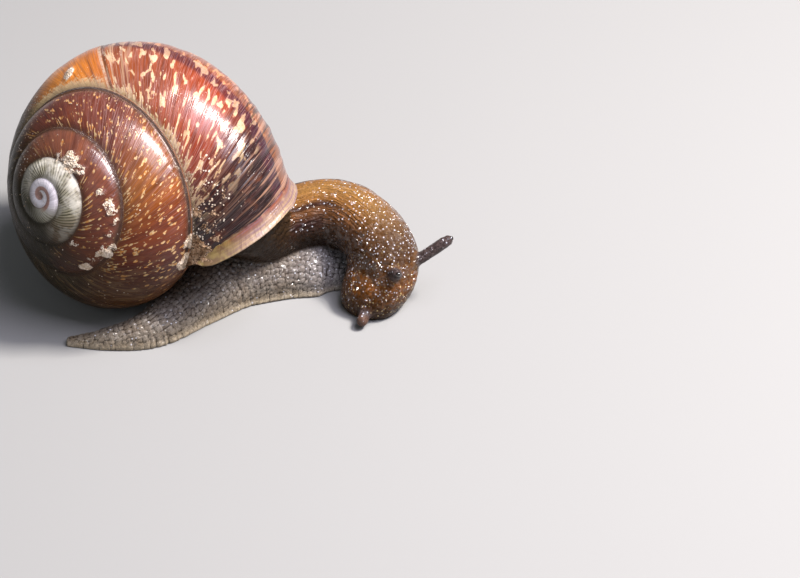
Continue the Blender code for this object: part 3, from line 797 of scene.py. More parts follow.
def mantle_distance(points):
    """Distance to the mantle's pad, which fills the tube of the shell behind the lip."""
    under, side, axis = shell_axes()
    offset = points - APEX
    z = offset @ axis
    x = offset @ under
    y = offset @ side
    r = np.hypot(x, y)
    back = np.mod(np.arctan2(y, x) - LIP_AZIMUTH + math.pi, TURN) - math.pi
    theta = WHORLS * TURN - back
    centre_r, centre_z, _ = tube_centre(theta)
    alpha = np.arctan2(z - centre_z, r - centre_r)
    drop = np.clip(1.0 - alpha, 0.0, 3.3)
    wall, old = ((np.sqrt(np.maximum(inside_tube(angle, r, z) + 1, 1e-6)) - 1) * TUBE_MEAN
                 * tube_centre(angle)[2] for angle in (theta, theta - TURN))
    behind = (-back + full_lean(drop)) * np.maximum(r, 2.0)
    front = behind + MANTLE_FRONT
    rear = -behind - MANTLE_DEPTH
    pad = np.maximum(np.maximum(wall + MANTLE_GAP, MANTLE_OLD_GAP - old), rear)
    part = np.maximum(MANTLE_ROUND - np.abs(pad - front), 0) / MANTLE_ROUND
    return np.maximum(pad, front) + part * part * MANTLE_ROUND / 4


class Flesh:
    """The whole body as one smooth solid, given by a distance that is negative inside."""

    def __init__(self):
        self.foot = Sweep(FOOT_PATH, wide=0.965, tips=(0.45, 1.5))
        hem = [((place[0], place[1], 0.14), turn, wide, 0.26, 0.5) for place, turn, wide, _, _ in FOOT_PATH]
        self.hem = Sweep(hem, tips=(0.9, 6.2))
        self.trunk = Sweep(TRUNK_PATH)
        self.neck = Sweep(NECK_PATH, tips=(0.6, 0.6))
        self.throat = Sweep(THROAT_PATH)
        self.feelers = {name: feeler_sweep(points) for name, points in FEELER_PATHS.items()}

    def measure(self, points):
        """Distance, and every part's own distance and place along and around it."""
        foot = self.foot.measure(points)
        hem = self.hem.measure(points)[0]
        trunk = self.trunk.measure(points)
        neck = self.neck.measure(points)
        throat = self.throat.measure(points)[0]
        mantle = mantle_distance(points)
        feelers = {name: sweep.measure(points) for name, sweep in self.feelers.items()}
        # The last number of each union is how widely it is rounded, in millimetres.
        body = blend_union(foot[0], hem, 0.4)
        stalk = blend_union(trunk[0], mantle, 1.2)
        neck = (blend_union(neck[0], throat, 1.0),) + neck[1:]
        stalk = blend_union(stalk, neck[0], 1.0)
        total = blend_union(body, stalk, 0.3)
        for feeler in feelers.values():
            total = blend_union(total, feeler[0], 0.35)
        total = np.maximum(total, np.maximum(-points[:, 2], points[:, 2] - BODY_TOP))
        return total, {"foot": foot, "hem": hem, "trunk": trunk, "neck": neck, "mantle": mantle,
                       "feelers": feelers}

    def distance(self, points):
        """Distance to the body's surface, negative inside."""
        return self.measure(points)[0]


def refine(values, factor):
    """A grid of values with factor times the steps along each axis, filled in evenly between."""
    for axis in range(3):
        values = np.moveaxis(values, axis, 0)
        share = (np.arange(factor) / factor).reshape((1, factor) + (1,) * (values.ndim - 1))
        filled = values[:-1, None] * (1 - share) + values[1:, None] * share
        filled = filled.reshape((-1,) + values.shape[1:])
        values = np.moveaxis(np.concatenate([filled, values[-1:]]), 0, axis)
    return values


def sample_near_surface(distance, low, high, step, levels=(3, 2)):
    """Distances on a grid, worked out only near the surface and filled in elsewhere."""
    total = int(np.prod(levels))
    coarse = step * total
    counts = np.ceil((high - low) / coarse).astype(int) + 1
    nodes = np.indices(counts).reshape(3, -1).T * coarse + low
    values = distance(nodes).reshape(counts)
    reach = coarse
    for factor in levels:
        values = refine(values, factor)
        near = np.argwhere(np.abs(values) < 1.1 * reach)
        reach /= factor
        values[tuple(near.T)] = distance(near * reach + low)
    return values


def surface_net(values, low, step):
    """Vertices and faces where the values cross zero: one vertex in each mixed cell of the grid,
    at the mean of the crossings on the cell's edges, and a face round each crossed edge."""
    inside = values < 0
    shape = np.array(values.shape) - 1
    mixed = np.zeros(shape, dtype=np.int8)
    corners = list(itertools.product((0, 1), repeat=3))
    for i, j, k in corners:
        mixed += inside[i:i + shape[0], j:j + shape[1], k:k + shape[2]]
    cells = np.argwhere((mixed > 0) & (mixed < 8))
    number = np.full(shape, -1, dtype=np.int64)
    number[tuple(cells.T)] = np.arange(len(cells))
    total = np.zeros((len(cells), 3))
    hits = np.zeros(len(cells))
    for first, second in itertools.combinations(corners, 2):
        if sum(abs(a - b) for a, b in zip(first, second)) != 1:
            continue
        start = values[tuple((cells + first).T)]
        end = values[tuple((cells + second).T)]
        crossed = (start < 0) != (end < 0)
        part = np.where(crossed, start / np.where(crossed, start - end, 1), 0)
        spot = np.array(first) + part[:, None] * (np.array(second) - np.array(first))
        total += np.where(crossed[:, None], spot, 0)
        hits += crossed
    points = (cells + total / hits[:, None]) * step + low
    faces = []
    for axis in range(3):
        one, two = [other for other in range(3) if other != axis]
        limits = [slice(None)] * 3
        limits[axis] = slice(0, -1)
        ahead = [slice(None)] * 3
        ahead[axis] = slice(1, None)
        start = inside[tuple(limits)]
        end = inside[tuple(ahead)]
        edges = np.argwhere(start != end)
        edges = edges[(edges[:, one] > 0) & (edges[:, two] > 0)]
        edges = edges[(edges[:, one] < shape[one]) & (edges[:, two] < shape[two])]
        around = []
        for a, b in ((0, 0), (1, 0), (1, 1), (0, 1)):
            cell = edges.copy()
            cell[:, one] -= a
            cell[:, two] -= b
            around.append(number[tuple(cell.T)])
        quad = np.stack(around, -1)
        turned = start[tuple(edges.T)] == (axis == 1)
        quad[turned] = quad[turned][:, ::-1]
        faces.append(quad)
    return points, np.concatenate(faces)


def close_pinches(values, points, faces, low, step):
    """Fills the few grid cells where the net would pinch two sheets onto one edge.

    The grid's lowest layer stays outside the body, so that the net closes under the sole.
    """
    ring = np.stack([faces, np.roll(faces, -1, axis=1)], -1).reshape(-1, 2)
    ring.sort(axis=1)
    pairs, counts = np.unique(ring, axis=0, return_counts=True)
    pinched = np.unique(pairs[counts > 2])
    cells = np.floor((points[pinched] - low) / step).astype(int)
    for corner in itertools.product((0, 1), repeat=3):
        spot = tuple((cells + corner).T)
        values[spot] = np.minimum(values[spot], -NUDGE * step)
    values[:, :, 0] = np.maximum(values[:, :, 0], NUDGE * step)
    return len(pinched)


def cell_pattern(along, around, seed, jitter=0.8):
    """Scattered cells, one in each unit square: how far a place is from its cell's border, from 0
    there to about 1 at a cell's middle, and a random number for the cell. It compares the distances
    to the nearest and the second nearest scattered point."""
    place = np.stack([along, around], -1)
    base = np.floor(place)
    nearest = np.full(along.shape, 9.0)
    second = np.full(along.shape, 9.0)
    label = np.zeros(along.shape)
    for i, j in itertools.product((-1, 0, 1), repeat=2):
        cell = base + np.array([i, j])
        shift = np.stack([hashed(cell, seed), hashed(cell, seed + 1)], -1) - 0.5
        distance = np.linalg.norm(cell + 0.5 + jitter * shift - place, axis=-1)
        nearer = distance < nearest
        second = np.where(nearer, nearest, np.minimum(second, distance))
        nearest = np.where(nearer, distance, nearest)
        label = np.where(nearer, hashed(cell, seed + 2), label)
    return second - nearest, label


def tubercles(along, around, length, width, seed, jitter=0.7):
    """Low domes with grooves between, of a given length and width: height 0 to 1, and a label."""
    edge, label = cell_pattern(along / length, around / width, seed, jitter)
    return 1 - (1 - np.clip(edge / 0.7, 0, 1)) ** 2, label


def bell(value, centre, width):
    """A smooth hump of height 1."""
    return np.exp(-((value - centre) / width) ** 2)


def skin_detail(parts, points, normals):
    """Relief in millimetres and the masks that the skin's colours read.

    Each part of the body has its own pattern along and around its path: square blocks on the foot's
    flank, upright grooves on its hem, long ridges on the neck that shorten to grains on the head.
    The patterns fade into each other where the parts' distances are alike.
    """
    foot_distance = np.minimum(parts["foot"][0], parts["hem"])
    stalk_distance = np.minimum(parts["trunk"][0], parts["mantle"])
    feelers = parts["feelers"]
    feeler_distance = np.min([feeler[0] for feeler in feelers.values()], axis=0)
    distances = np.stack([foot_distance, parts["neck"][0], stalk_distance, feeler_distance])
    shares = np.exp(-(distances - distances.min(axis=0)) / PART_BLEND)
    shares /= shares.sum(axis=0)
    on_foot, on_neck, on_stalk, on_feeler = shares
    height = points[:, 2]

    _, along, around, _ = parts["foot"]
    shift = 0.10 * noise(points / 0.9, 20)
    blocks, block_label = tubercles(along + shift, around + shift, 0.45, 0.40, 11, 0.6)
    small, _ = tubercles(along, around, 0.36, 0.30, 12, 0.7)
    hem = smooth(0.62, 0.25, height)
    low = smooth(1.25, 0.75, height)
    upright, _ = tubercles(along + shift, np.full_like(along, 0.5), 0.36, 1.0, 14, 0.5)
    foot_groove = (blocks * (1 - low) + small * low) * (1 - hem) + upright * hem
    foot_height = 0.095 * blocks * (1 - low) + 0.06 * small * low * (1 - hem) + 0.045 * upright * hem

    _, along, around, angle = parts["neck"]
    away = np.degrees(np.abs(angle))
    wander = 0.22 * noise(points / 1.4, 21)
    to_head = smooth(8.0, 12.5, along)
    low_side = smooth(62.0, 95.0, away + 12 * noise(points / 1.2, 22))
    ridges, ridge_label = tubercles(along, around + wander, 1.25, 0.29, 31)
    mesh_cells, _ = tubercles(along + wander, around, 0.46, 0.33, 34)
    grains, grain_label = tubercles(along, around, 0.36, 0.32, 37, 0.85)
    rear_height = 0.02 * ridges * (1 - low_side) + 0.04 * mesh_cells * low_side
    neck_height = rear_height * (1 - to_head) + 0.014 * grains * to_head
    neck_height -= 0.04 * bell(np.abs(around), 0.45, 0.10) * (1 - to_head)

    _, along_trunk, around_trunk, _ = parts["trunk"]
    folds, _ = tubercles(along_trunk, around_trunk, 0.55, 0.40, 41)

    relief = (on_foot * foot_height + on_neck * neck_height + on_stalk * 0.06 * folds
              + on_feeler * (0.03 + 0.02 * noise(points / 0.16, 51)))
    lumps = 0.05 * noise(points / 1.9, 61) + 0.03 * noise(points / 0.8, 62)
    relief += lumps * (1 - on_feeler) * smooth(0.0, 0.6, height)
    waver = 5.0 * noise(points / 1.3, 23)
    bands = (bell(away + 0.6 * waver, 38.0, 6.0) * (1 - smooth(6.0, 10.0, along))
             + bell(away + waver, 70.0, 16.0) * (1 - smooth(4.5, 8.5, along)))
    masks = {
        "on_foot": on_foot,
        "on_feeler": on_feeler,
        "on_stalk": on_stalk,
        "raised": (on_foot * foot_groove + on_neck * (grains * to_head + 1 - to_head) + on_stalk * folds
                   + on_feeler),
        "cell": on_foot * block_label + on_neck * (ridge_label * (1 - to_head) + grain_label * to_head),
        "hem": hem * on_foot,
        "headward": to_head * on_neck,
        "along": along,
        "away": away,
        "around": around,
        "upward": smooth(-0.15, 0.6, normals[:, 2]),
        "dark_band": np.clip(bands, 0, 1) * on_neck,
        "pale_tip": np.maximum(*(smooth(0.65, 0.1, np.linalg.norm(points - tip, axis=1))
                                 for tip in LOWER_TIPS)),
        "height": height,
    }
    return relief, masks


def vertex_normals(points, faces):
    """Unit normals: the sum of the crossed diagonals of the faces round each vertex."""
    cross = np.cross(points[faces[:, 2]] - points[faces[:, 0]], points[faces[:, 3]] - points[faces[:, 1]])
    normals = np.zeros_like(points)
    for corner in range(4):
        for axis in range(3):
            normals[:, axis] += np.bincount(faces[:, corner], cross[:, axis], minlength=len(points))
    return normals / np.maximum(np.linalg.norm(normals, axis=1, keepdims=True), 1e-12)


def build_skin(mat):
    """One closed skin over all the flesh, netted on a grid and pushed out and in by its relief."""
    flesh = Flesh()
    step = SKIN_STEP * 1.0
    low = np.array([*SKIN_LOW, -0.45 * step])
    high = np.array(SKIN_HIGH)
    values = sample_near_surface(flesh.distance, low, high, step)
    points, faces = surface_net(values, low, step)
    for _ in range(PINCH_ROUNDS):
        if not close_pinches(values, points, faces, low, step):
            break
        points, faces = surface_net(values, low, step)
    distance = flesh.distance(points)
    points = points - vertex_normals(points, faces) * np.clip(distance, -0.5 * step, 0.5 * step)[:, None]
    normals = vertex_normals(points, faces)
    relief, masks = skin_detail(flesh.measure(points)[1], points, normals)
    sole = smooth(0.02, 0.25, points[:, 2])
    points = points + normals * ((relief - RELIEF_SINK) * sole)[:, None]
    points[:, 2] = np.where(points[:, 2] < 0.5 * step, np.maximum(points[:, 2], 0.0), points[:, 2])
    return make_piece("skin", points, [faces], mat, masks)


# ---- materials
def soil_group():
    """Caked soil: from a height and a place, how much covers, its colour and its grain."""
    tree = bpy.data.node_groups.new("soil_cover", "ShaderNodeTree")
    for name, side, kind in (("Thickness", "INPUT", "Float"), ("Damp", "INPUT", "Float"),
                             ("Cover", "OUTPUT", "Float"), ("Colour", "OUTPUT", "Color"),
                             ("Grain", "OUTPUT", "Float")):
        tree.interface.new_socket(name, in_out=side, socket_type="NodeSocket" + kind)
    nodes = Nodes(tree)
    given = nodes.add("NodeGroupInput", None)
    amount, damp_share = given["Thickness"], given["Damp"]
    result = tree.nodes.new("NodeGroupOutput")
    place = nodes.object_place()
    ragged = nodes.noise(place, 3.4, 5.0, 0.75)
    thickness = amount.ease(0.0, 0.9) + (ragged - 0.5) * 2.6
    cover = thickness.ease(0.45, 0.62) * amount.ease(0.02, 0.12)
    grains = nodes.cells(place, 7.0)
    clods = nodes.noise(place, 2.6, 3.0, 0.6)
    pale = clods.ramp(((0.3, (176, 146, 118)), (0.45, (218, 196, 172)), (0.6, (240, 224, 208))))
    damp = clods.ramp(((0.3, (82, 56, 38)), (0.45, (138, 106, 78)), (0.62, (196, 164, 134))))
    tint = pale.tinted(damp_share, damp)
    tint = tint.tinted(grains.ease(0.25, 0.75, 0.0, 0.4), (110, 84, 62))
    gaps = nodes.noise(place, 4.5, 3.0, 0.7).ease(0.52, 0.6) * damp_share
    tint = tint.tinted(gaps * 0.85, (34, 22, 16))
    nodes.put(result, "Cover", cover)
    nodes.put(result, "Colour", tint)
    nodes.put(result, "Grain", grains.ease(0.0, 0.8, 1.0, 0.0))
    return tree


def add_soil(nodes, soil, damp):
    """The soil group placed in a material, reading that piece's soil attribute."""
    cover = nodes.add("ShaderNodeGroup", None, {"node_tree": soil}, Damp=damp,
                      Thickness=nodes.attributes("soil")[0])
    return cover["Cover"], cover["Colour"], cover["Grain"]


# Turn of the growth line, and the shell's colour there in full light; but the lilac white of the nucleus,
# at 0.00 and 1.26, is partly a painted sheen, and the dark stops from 4.30 to 4.70, where the last whorl
# lies low and away from the light, are partly painted shade.
SHELL_COLOURS = (
    (0.00, (253, 250, 252)), (1.26, (238, 230, 236)), (1.38, (182, 178, 156)), (2.25, (158, 152, 126)),
    (2.45, (116, 78, 56)), (3.25, (108, 58, 40)), (3.50, (96, 50, 38)), (4.06, (104, 52, 36)),
    (4.16, (150, 88, 28)), (4.24, (128, 56, 10)), (4.30, (78, 26, 8)), (4.40, (44, 28, 10)),
    (4.70, (74, 52, 28)), (4.80, (170, 104, 44)), (4.86, (226, 142, 50)), (4.93, (220, 128, 44)),
    (4.942, (146, 78, 42)), (5.05, (142, 64, 32)), (5.105, (152, 58, 24)), (5.135, (116, 42, 20)),
    (5.155, (52, 23, 17)), (5.20, (20, 11, 9)), (5.25, (38, 20, 17)),
)
LAST_TURN = 5.4                 # scales turns to the ramp's 0 to 1
# Share of the way round the lip's section, from behind the rim, and the colour there.
LIP_COLOURS = (
    (0.0, (40, 22, 22)), (0.07, (68, 32, 26)), (0.12, (132, 72, 46)), (0.17, (118, 84, 74)),
    (0.24, (140, 112, 90)), (0.36, (158, 134, 106)), (0.45, (176, 152, 118)), (0.62, (162, 134, 100)),
    (0.8, (150, 100, 66)), (0.95, (86, 50, 34)),
)
# Share of the way from the neck's back to its underside, and the colour there: the pale back and dark
# underside are partly the skin's own colours, partly painted light above and painted shade below.
NECK_COLOURS = (
    (0.0, (160, 116, 62)), (0.16, (148, 100, 50)), (0.26, (120, 76, 40)), (0.4, (106, 68, 42)),
    (0.55, (78, 53, 34)), (0.75, (46, 33, 21)),
)
# Share of the head's height, and the colour there: darker towards the floor, partly painted shade.
HEAD_COLOURS = (
    (0.0, (46, 28, 9)), (0.16, (70, 41, 12)), (0.38, (110, 62, 13)), (0.6, (71, 43, 18)),
    (1.0, (78, 55, 36)),
)
# Share of the flank's height, and the colour there.
FLANK_COLOURS = (
    (0.0, (142, 124, 96)), (0.12, (138, 123, 102)), (0.3, (124, 113, 100)), (0.6, (113, 104, 98)),
    (0.95, (96, 85, 78)),
)
HEAD_HEIGHT = 7.0               # height above the floor that counts as 1 in the head's stops
FLANK_HEIGHT = 3.2              # and in the flank's
BAND_DROP = 51.0                # about the dark band's middle, in degrees below the suture
BAND_FALL = 75.0                # degrees by which it falls in one turn, after BAND_TURN
BAND_TURN = 5.0


def shell_material(soil):
    """Chestnut shell: bands by turn, striae, cream flecks, a dark band, soil, dirt, painted sheen and shade.
    """
    mat, nodes, shader = new_material("chestnut_shell", Coat_Roughness=0.2, Coat_IOR=1.45,
                                      Specular_IOR_Level=0.12, Coat_Tint=(0.93, 0.91, 1.0, 1.0))
    growth, across, turn, drop, groove, inside = nodes.attributes(
        "growth_mm", "across_mm", "growth_turn", "drop", "groove", "inside")
    place = nodes.object_place()
    sides = nodes.add("ShaderNodeSeparateXYZ", None, Vector=place)
    x, z = sides["X"], sides["Z"]

    def along_lines(width, length, shift=0.0, detail=2.0, distortion=0.0):
        """Noise drawn out along the growth lines: its width across them and length along them."""
        spot = nodes.vector(growth * (1 / width), across * (1 / length), shift)
        return nodes.noise(spot, 1.0, detail, 0.55, distortion)

    striae = along_lines(0.14, 2.6, 1.0, 3.0)
    fine = along_lines(0.07, 1.6, 2.0, 2.0)
    streaks = along_lines(0.75, 6.0, 3.0, 3.0)
    patches = nodes.noise(place, 0.8, 3.0, 0.6)

    place_on_ramp = (turn + (streaks - 0.5) * 0.035) / LAST_TURN
    base = place_on_ramp.ramp([(stop / LAST_TURN, tint) for stop, tint in SHELL_COLOURS])

    # Darker and redder streaks along the growth lines.
    older = turn.ease(2.3, 2.5)
    base = base.tinted(streaks.ease(0.45, 0.7) * (older * 0.55), (62, 26, 20))
    base = base.tinted(patches.ease(0.5, 0.75) * (older * 0.25), (150, 84, 44))

    # Cream flecks: noise drawn out along the growth lines, cut off sharply, denser at the suture.
    at_suture = across.ease(2.4, 0.2)
    blotch = along_lines(0.62, 1.25, 4.0, 1.0, 0.4)
    broken = nodes.noise(place, 5.0, 2.0, 0.6)
    level = blotch + at_suture * 0.03
    level += (broken - 0.5) * 0.16
    fleck = level.ease(0.56, 0.6)
    granules = along_lines(0.3, 0.42, 9.0, 1.5, 0.3) + across.ease(1.9, 0.2, -0.2, 0.05)
    fleck = nodes.most(fleck, granules.ease(0.54, 0.6))
    after_halt = turn.ease(GROWTH_HALT, GROWTH_HALT + HALT_STEP)
    before_halt = turn.between(4.25, 4.4, 4.74, 4.84)
    before_halt *= drop.ease(70.0, 90.0, 0.12, 0.8)
    zone = nodes.most(after_halt * turn.ease(5.2, 5.13), before_halt)
    fleck *= zone
    from_band = drop - (nodes.most((turn - BAND_TURN) * BAND_FALL, 0.0) + BAND_DROP)
    in_band = from_band.between(-8.5, -3.5, 3.0, 7.5)
    in_band *= striae.ease(0.62, 0.42, 0.6, 1.0)
    below_band = from_band.ease(4.0, 7.0)
    on_last = turn.ease(4.3, 4.5) * (1.0 - turn.between(4.8, 4.84, GROWTH_HALT, GROWTH_HALT + 0.002))
    base = base.tinted(below_band * (on_last * 0.7), (138, 84, 48))
    base = base.tinted(in_band * (on_last * 0.9), (64, 30, 40))
    fleck_share = fleck * (0.92 - in_band * 0.55)
    fleck_tint = nodes.mix(broken.ease(0.4, 0.65), (240, 222, 172), (226, 190, 130))
    fleck_tint = fleck_tint.tinted(below_band, (214, 150, 88))
    base = base.tinted(fleck_share, fleck_tint)
    haze = level.ease(0.5, 0.58) * zone * 0.3
    base = base.tinted(haze, (176, 116, 92))

    # Pale growth lines before the halt and in the dark zone at the lip.
    ridges = along_lines(0.34, 7.0, 7.0, 2.0)
    lined = nodes.most(turn.between(4.34, 4.44, 4.72, 4.8), turn.ease(5.1, 5.15))
    outer_share = across.ease(4.8, 7.2, 0.12, 0.6)
    pale_ridge = nodes.mix(turn.ease(4.9, 5.0), (150, 112, 76), (182, 138, 106))
    base = base.tinted(ridges.ease(0.55, 0.61) * (lined * outer_share), pale_ridge)
    base = base.tinted(ridges.ease(0.46, 0.38) * (turn.ease(5.1, 5.15) * 0.7), (14, 9, 10))

    # Pale lines just after the halt.
    fresh = after_halt * turn.ease(5.005, 4.955)
    base = base.tinted(ridges.ease(0.52, 0.58) * (fresh * 0.6), (208, 172, 132))

    # A cream border above the amber zone.
    cream = turn.between(4.7, 4.8, GROWTH_HALT - 0.01, GROWTH_HALT)
    cream_edge = across + (broken - 0.5) * 2.0
    cream *= cream_edge.ease(1.15, 0.55)
    base = base.tinted(cream * 0.8, (226, 200, 150))

    # Small straw lines and dots on the whorl before.
    lines = along_lines(0.3, 2.4, 6.0, 0.0)
    line_level = lines + across.ease(2.2, 0.6, -1.0, 0.07)
    dots = nodes.cells(nodes.vector(growth * (1 / 0.55), across * (1 / 0.6)), 1.0).ease(0.27, 0.17)
    many = nodes.noise(place, 0.9, 2.0) + turn.ease(3.9, 4.1, 0.0, 0.08)
    dots *= many.ease(0.46, 0.54)
    splashes = along_lines(0.34, 0.5, 11.0, 1.0, 0.6) + turn.ease(3.7, 4.1, -0.05, 0.01)
    splashes = splashes.ease(0.635, 0.67) * turn.ease(4.4, 4.3)
    dots = nodes.most(dots, splashes)
    small = nodes.most(line_level.ease(0.7, 0.73), dots)
    older_whorls = turn.between(2.6, 3.3, 4.4, 4.55)
    base = base.tinted(small * (older_whorls * 0.85),
                       nodes.mix(broken.ease(0.4, 0.6), (226, 196, 140), (206, 140, 64)))

    # The pale line where growth stopped, with a dark edge.
    halt = turn.between(*(GROWTH_HALT + step for step in (-0.0035, -0.001, 0.001, 0.004)))
    halt *= across.ease(11.0, 7.0, 0.35, 1.0)
    base = base.tinted(halt * broken.ease(0.35, 0.55, 0.3, 0.85), (206, 182, 150))
    halt_edge = turn.between(*(GROWTH_HALT + step for step in (0.001, 0.004, 0.006, 0.01)))
    base = base.tinted(halt_edge * 0.7, (58, 34, 24))

    # Dark stripes along the ribs and pale patches on the oldest whorls, the nucleus with its brown stripe.
    ribbed = turn.between(1.3, 1.42, 2.3, 2.7)
    waves = nodes.maths("SINE", growth * (TURN / 0.36) + striae * 4.0)
    base = base.tinted(waves.ease(0.1, 0.8) * (ribbed * 0.85), (60, 58, 38))
    base = base.tinted(patches.ease(0.45, 0.6) * (ribbed * 0.5), (214, 210, 196))
    width = turn.ease(0.1, 1.2) * 0.3
    stripe = (across - width).ease(0.12, 0.02) * turn.ease(1.42, 1.3)
    base = base.tinted(stripe * 0.75, (164, 96, 52))

    # Sutures: a straw border below, darker in the groove.
    border = across.ease(0.75, 0.25) * turn.ease(4.2, 4.6)
    base = base.tinted(border * broken.ease(0.42, 0.58, 0.1, 0.6), (176, 158, 108))
    base = base.tinted(groove * turn.ease(1.0, 2.0, 0.25, 0.75), (58, 44, 28))

    # Fine lines over all of it, then a painted sheen on the lit side, chalk, olive on the lower left and dark
    # olive on the far left, both partly dirt and partly painted shade, then painted shade on the low side.
    base = base.tinted(striae.ease(0.4, 0.62, 0.0, 0.3), (40, 18, 12))
    lit = x + z * 1.2
    # Painted sheen: a pale lilac wash along the fine lines, growing towards the light's side (lit).
    painted_sheen = fine.ease(0.45, 0.72, 0.0, 0.32) * turn.ease(5.17, 5.12, 0.25, 1.0)
    painted_sheen *= lit.ease(7.0, 12.5, 0.15, 1.0)
    base = base.tinted(painted_sheen, (210, 168, 158))
    chalk = ribbed * z.ease(10.8, 12.4) * patches.ease(0.35, 0.6, 0.0, 0.55)
    base = base.tinted(chalk, (222, 216, 200))
    # Olive on the lower left of the early whorls: partly dirt, partly painted shade away from the light.
    olive = turn.between(1.35, 1.6, 3.4, 3.9) * (z.ease(12.2, 10.8) * x.ease(-11.4, -12.8))
    base = base.tinted(olive * waves.ease(-0.6, 0.8, 0.8, 0.95), (38, 38, 18))
    # Dark olive on the far left of the spire: partly dirt, partly painted shade on the side away from the
    # light.
    grime_and_shade = x.ease(-11.6, -15.2) * patches.ease(0.3, 0.7, 0.4, 0.85)
    grime_and_shade *= z.ease(15.5, 12.5, 0.35, 1.0)
    base = base.tinted(grime_and_shade, (42, 39, 20))
    # Painted shade: the side of the shell away from the light, down towards the floor, is darkened.
    low_side = lit.ease(3.5, -2.5) * turn.ease(1.4, 2.4, 0.35, 0.9)
    low_side *= streaks.ease(0.4, 0.62, 1.0, 0.75)
    base = base.tinted(low_side, nodes.mix(x.ease(-12.0, -7.5), (30, 25, 9), (66, 36, 9)))
    pale_lines = striae.ease(0.57, 0.66) * (low_side * turn.ease(4.2, 4.4))
    base = base.tinted(pale_lines * 0.5, (150, 122, 76))
    lining = nodes.mix(patches.ease(0.35, 0.65), (132, 84, 54), (190, 148, 106))
    base = base.tinted(inside, lining)

    # Dust specks on the old whorls, and crumbs there and in the corner at the lip.
    speck = nodes.cells(place, 2.6).ease(0.16, 0.1)
    dusty = nodes.noise(place, 0.55, 3.0, 0.65).ease(0.5, 0.6)
    dusty = nodes.most(dusty, x.ease(-12.0, -14.5) * z.ease(10.0, 12.5))
    speck = speck * dusty * turn.ease(5.25, 4.3, 0.5, 1.0)
    crumbs = nodes.cells(place, 5.2, output=None)
    near_corner = turn.ease(5.08, 5.17, -0.6, 0.0) + across.ease(7.0, 0.3, -0.25, 0.65)
    old_dust = x.ease(-12.6, -14.4) * z.ease(11.5, 13.0)
    near_corner = nodes.most(near_corner, old_dust * 0.4)
    chosen = (nodes.red(crumbs["Color"]) + near_corner).ease(1.0, 1.05)
    uneven = (nodes.noise(place, 7.0, 2.0, 0.6) - 0.5) * 0.9
    crumb = ((crumbs["Distance"] + uneven).ease(0.36, 0.26)
             * (chosen * nodes.most(turn.ease(5.0, 5.05), old_dust)))
    speck = nodes.most(speck, crumb) * (1.0 - inside)
    base = base.tinted(speck * 0.85,
                       nodes.mix(patches.ease(0.4, 0.6), (232, 218, 200), (184, 150, 120)))

    cover, soil_tint, grain = add_soil(nodes, soil, turn.ease(*LIP_ZONE))
    base = base.tinted(cover, soil_tint)
    nodes.put(shader, "Base Color", base)
    worn = nodes.most(nodes.most(cover, speck), grime_and_shade * 0.6)
    roughness = striae.ease(0.3, 0.7, 0.24, 0.4)
    nodes.put(shader, "Roughness", nodes.most(roughness, worn * 0.9))
    gloss = (1.0 - worn) * patches.ease(0.3, 0.7, 1.0, 0.8)
    gloss *= lit.ease(1.5, 8.0, 0.06, 1.0)
    nodes.put(shader, "Coat Weight", gloss)
    height = striae * 0.6 + fine * 0.35
    height += ridges * (lined * 2.0)
    height += grain * cover * 2.5
    height += speck
    nodes.put(shader, "Normal", nodes.bump(height, 0.8, 0.04 * MM))
    nodes.put(shader, "Coat Normal", nodes.bump(height, 0.8, 0.05 * MM))
    return mat


def lip_material(soil):
    """The lip: dark and red behind, purple-grey lines, a cream edge, greenish at its first end."""
    mat, nodes, shader = new_material("shell_lip", Coat_Weight=0.3, Coat_Roughness=0.2,
                                      Specular_IOR_Level=0.25)
    rim, ahead, profile = nodes.attributes("rim_mm", "ahead_mm", "profile")
    place = nodes.object_place()
    lines = nodes.noise(nodes.vector(ahead * 9.0, rim * 0.3, profile), 1.0, 3.0, 0.6)
    ribs = nodes.noise(nodes.vector(ahead * 0.8, rim * 6.5), 1.0, 2.0, 0.6)
    patches = nodes.noise(place, 1.1, 3.0, 0.6)
    shifted = profile + (patches - 0.5) * 0.08
    base = shifted.ramp(LIP_COLOURS)
    outer = profile.ease(0.5, 0.4)
    purple = lines.ease(0.47, 0.58) * (outer * 0.7)
    base = base.tinted(purple, (112, 84, 96))
    shade = ribs.ease(0.5, 0.62) * (outer * 0.5)
    base = base.tinted(shade, (104, 74, 70))
    base = base.tinted(patches.ease(0.5, 0.72, 0.0, 0.4), (176, 146, 110))
    start = rim.ease(4.4, 2.2)
    base = base.tinted(start * 0.75,
                       nodes.mix(patches.ease(0.4, 0.6), (134, 116, 62), (88, 66, 36)))
    cover, soil_tint, grain = add_soil(nodes, soil, 1.0)
    base = base.tinted(cover, soil_tint)
    nodes.put(shader, "Base Color", base)
    nodes.put(shader, "Roughness", nodes.most(lines.ease(0.3, 0.7, 0.32, 0.5), cover * 0.9))
    height = lines * 0.7 + ribs * 0.8
    height += grain * cover * 1.5
    relief = nodes.bump(height, 0.8, 0.05 * MM)
    nodes.put(shader, "Normal", relief)
    nodes.put(shader, "Coat Normal", relief)
    return mat


def eye_material():
    """A dark wet eye, mottled a little with brown by noise."""
    mat, nodes, shader = new_material("eye", Roughness=0.12, Coat_Weight=1.0, Coat_Roughness=0.03)
    flecks = nodes.noise(nodes.object_place(), 9.0, 3.0)
    nodes.put(shader, "Base Color", nodes.mix(flecks.ease(0.4, 0.7), (16, 12, 12), (44, 34, 30)))
    return mat


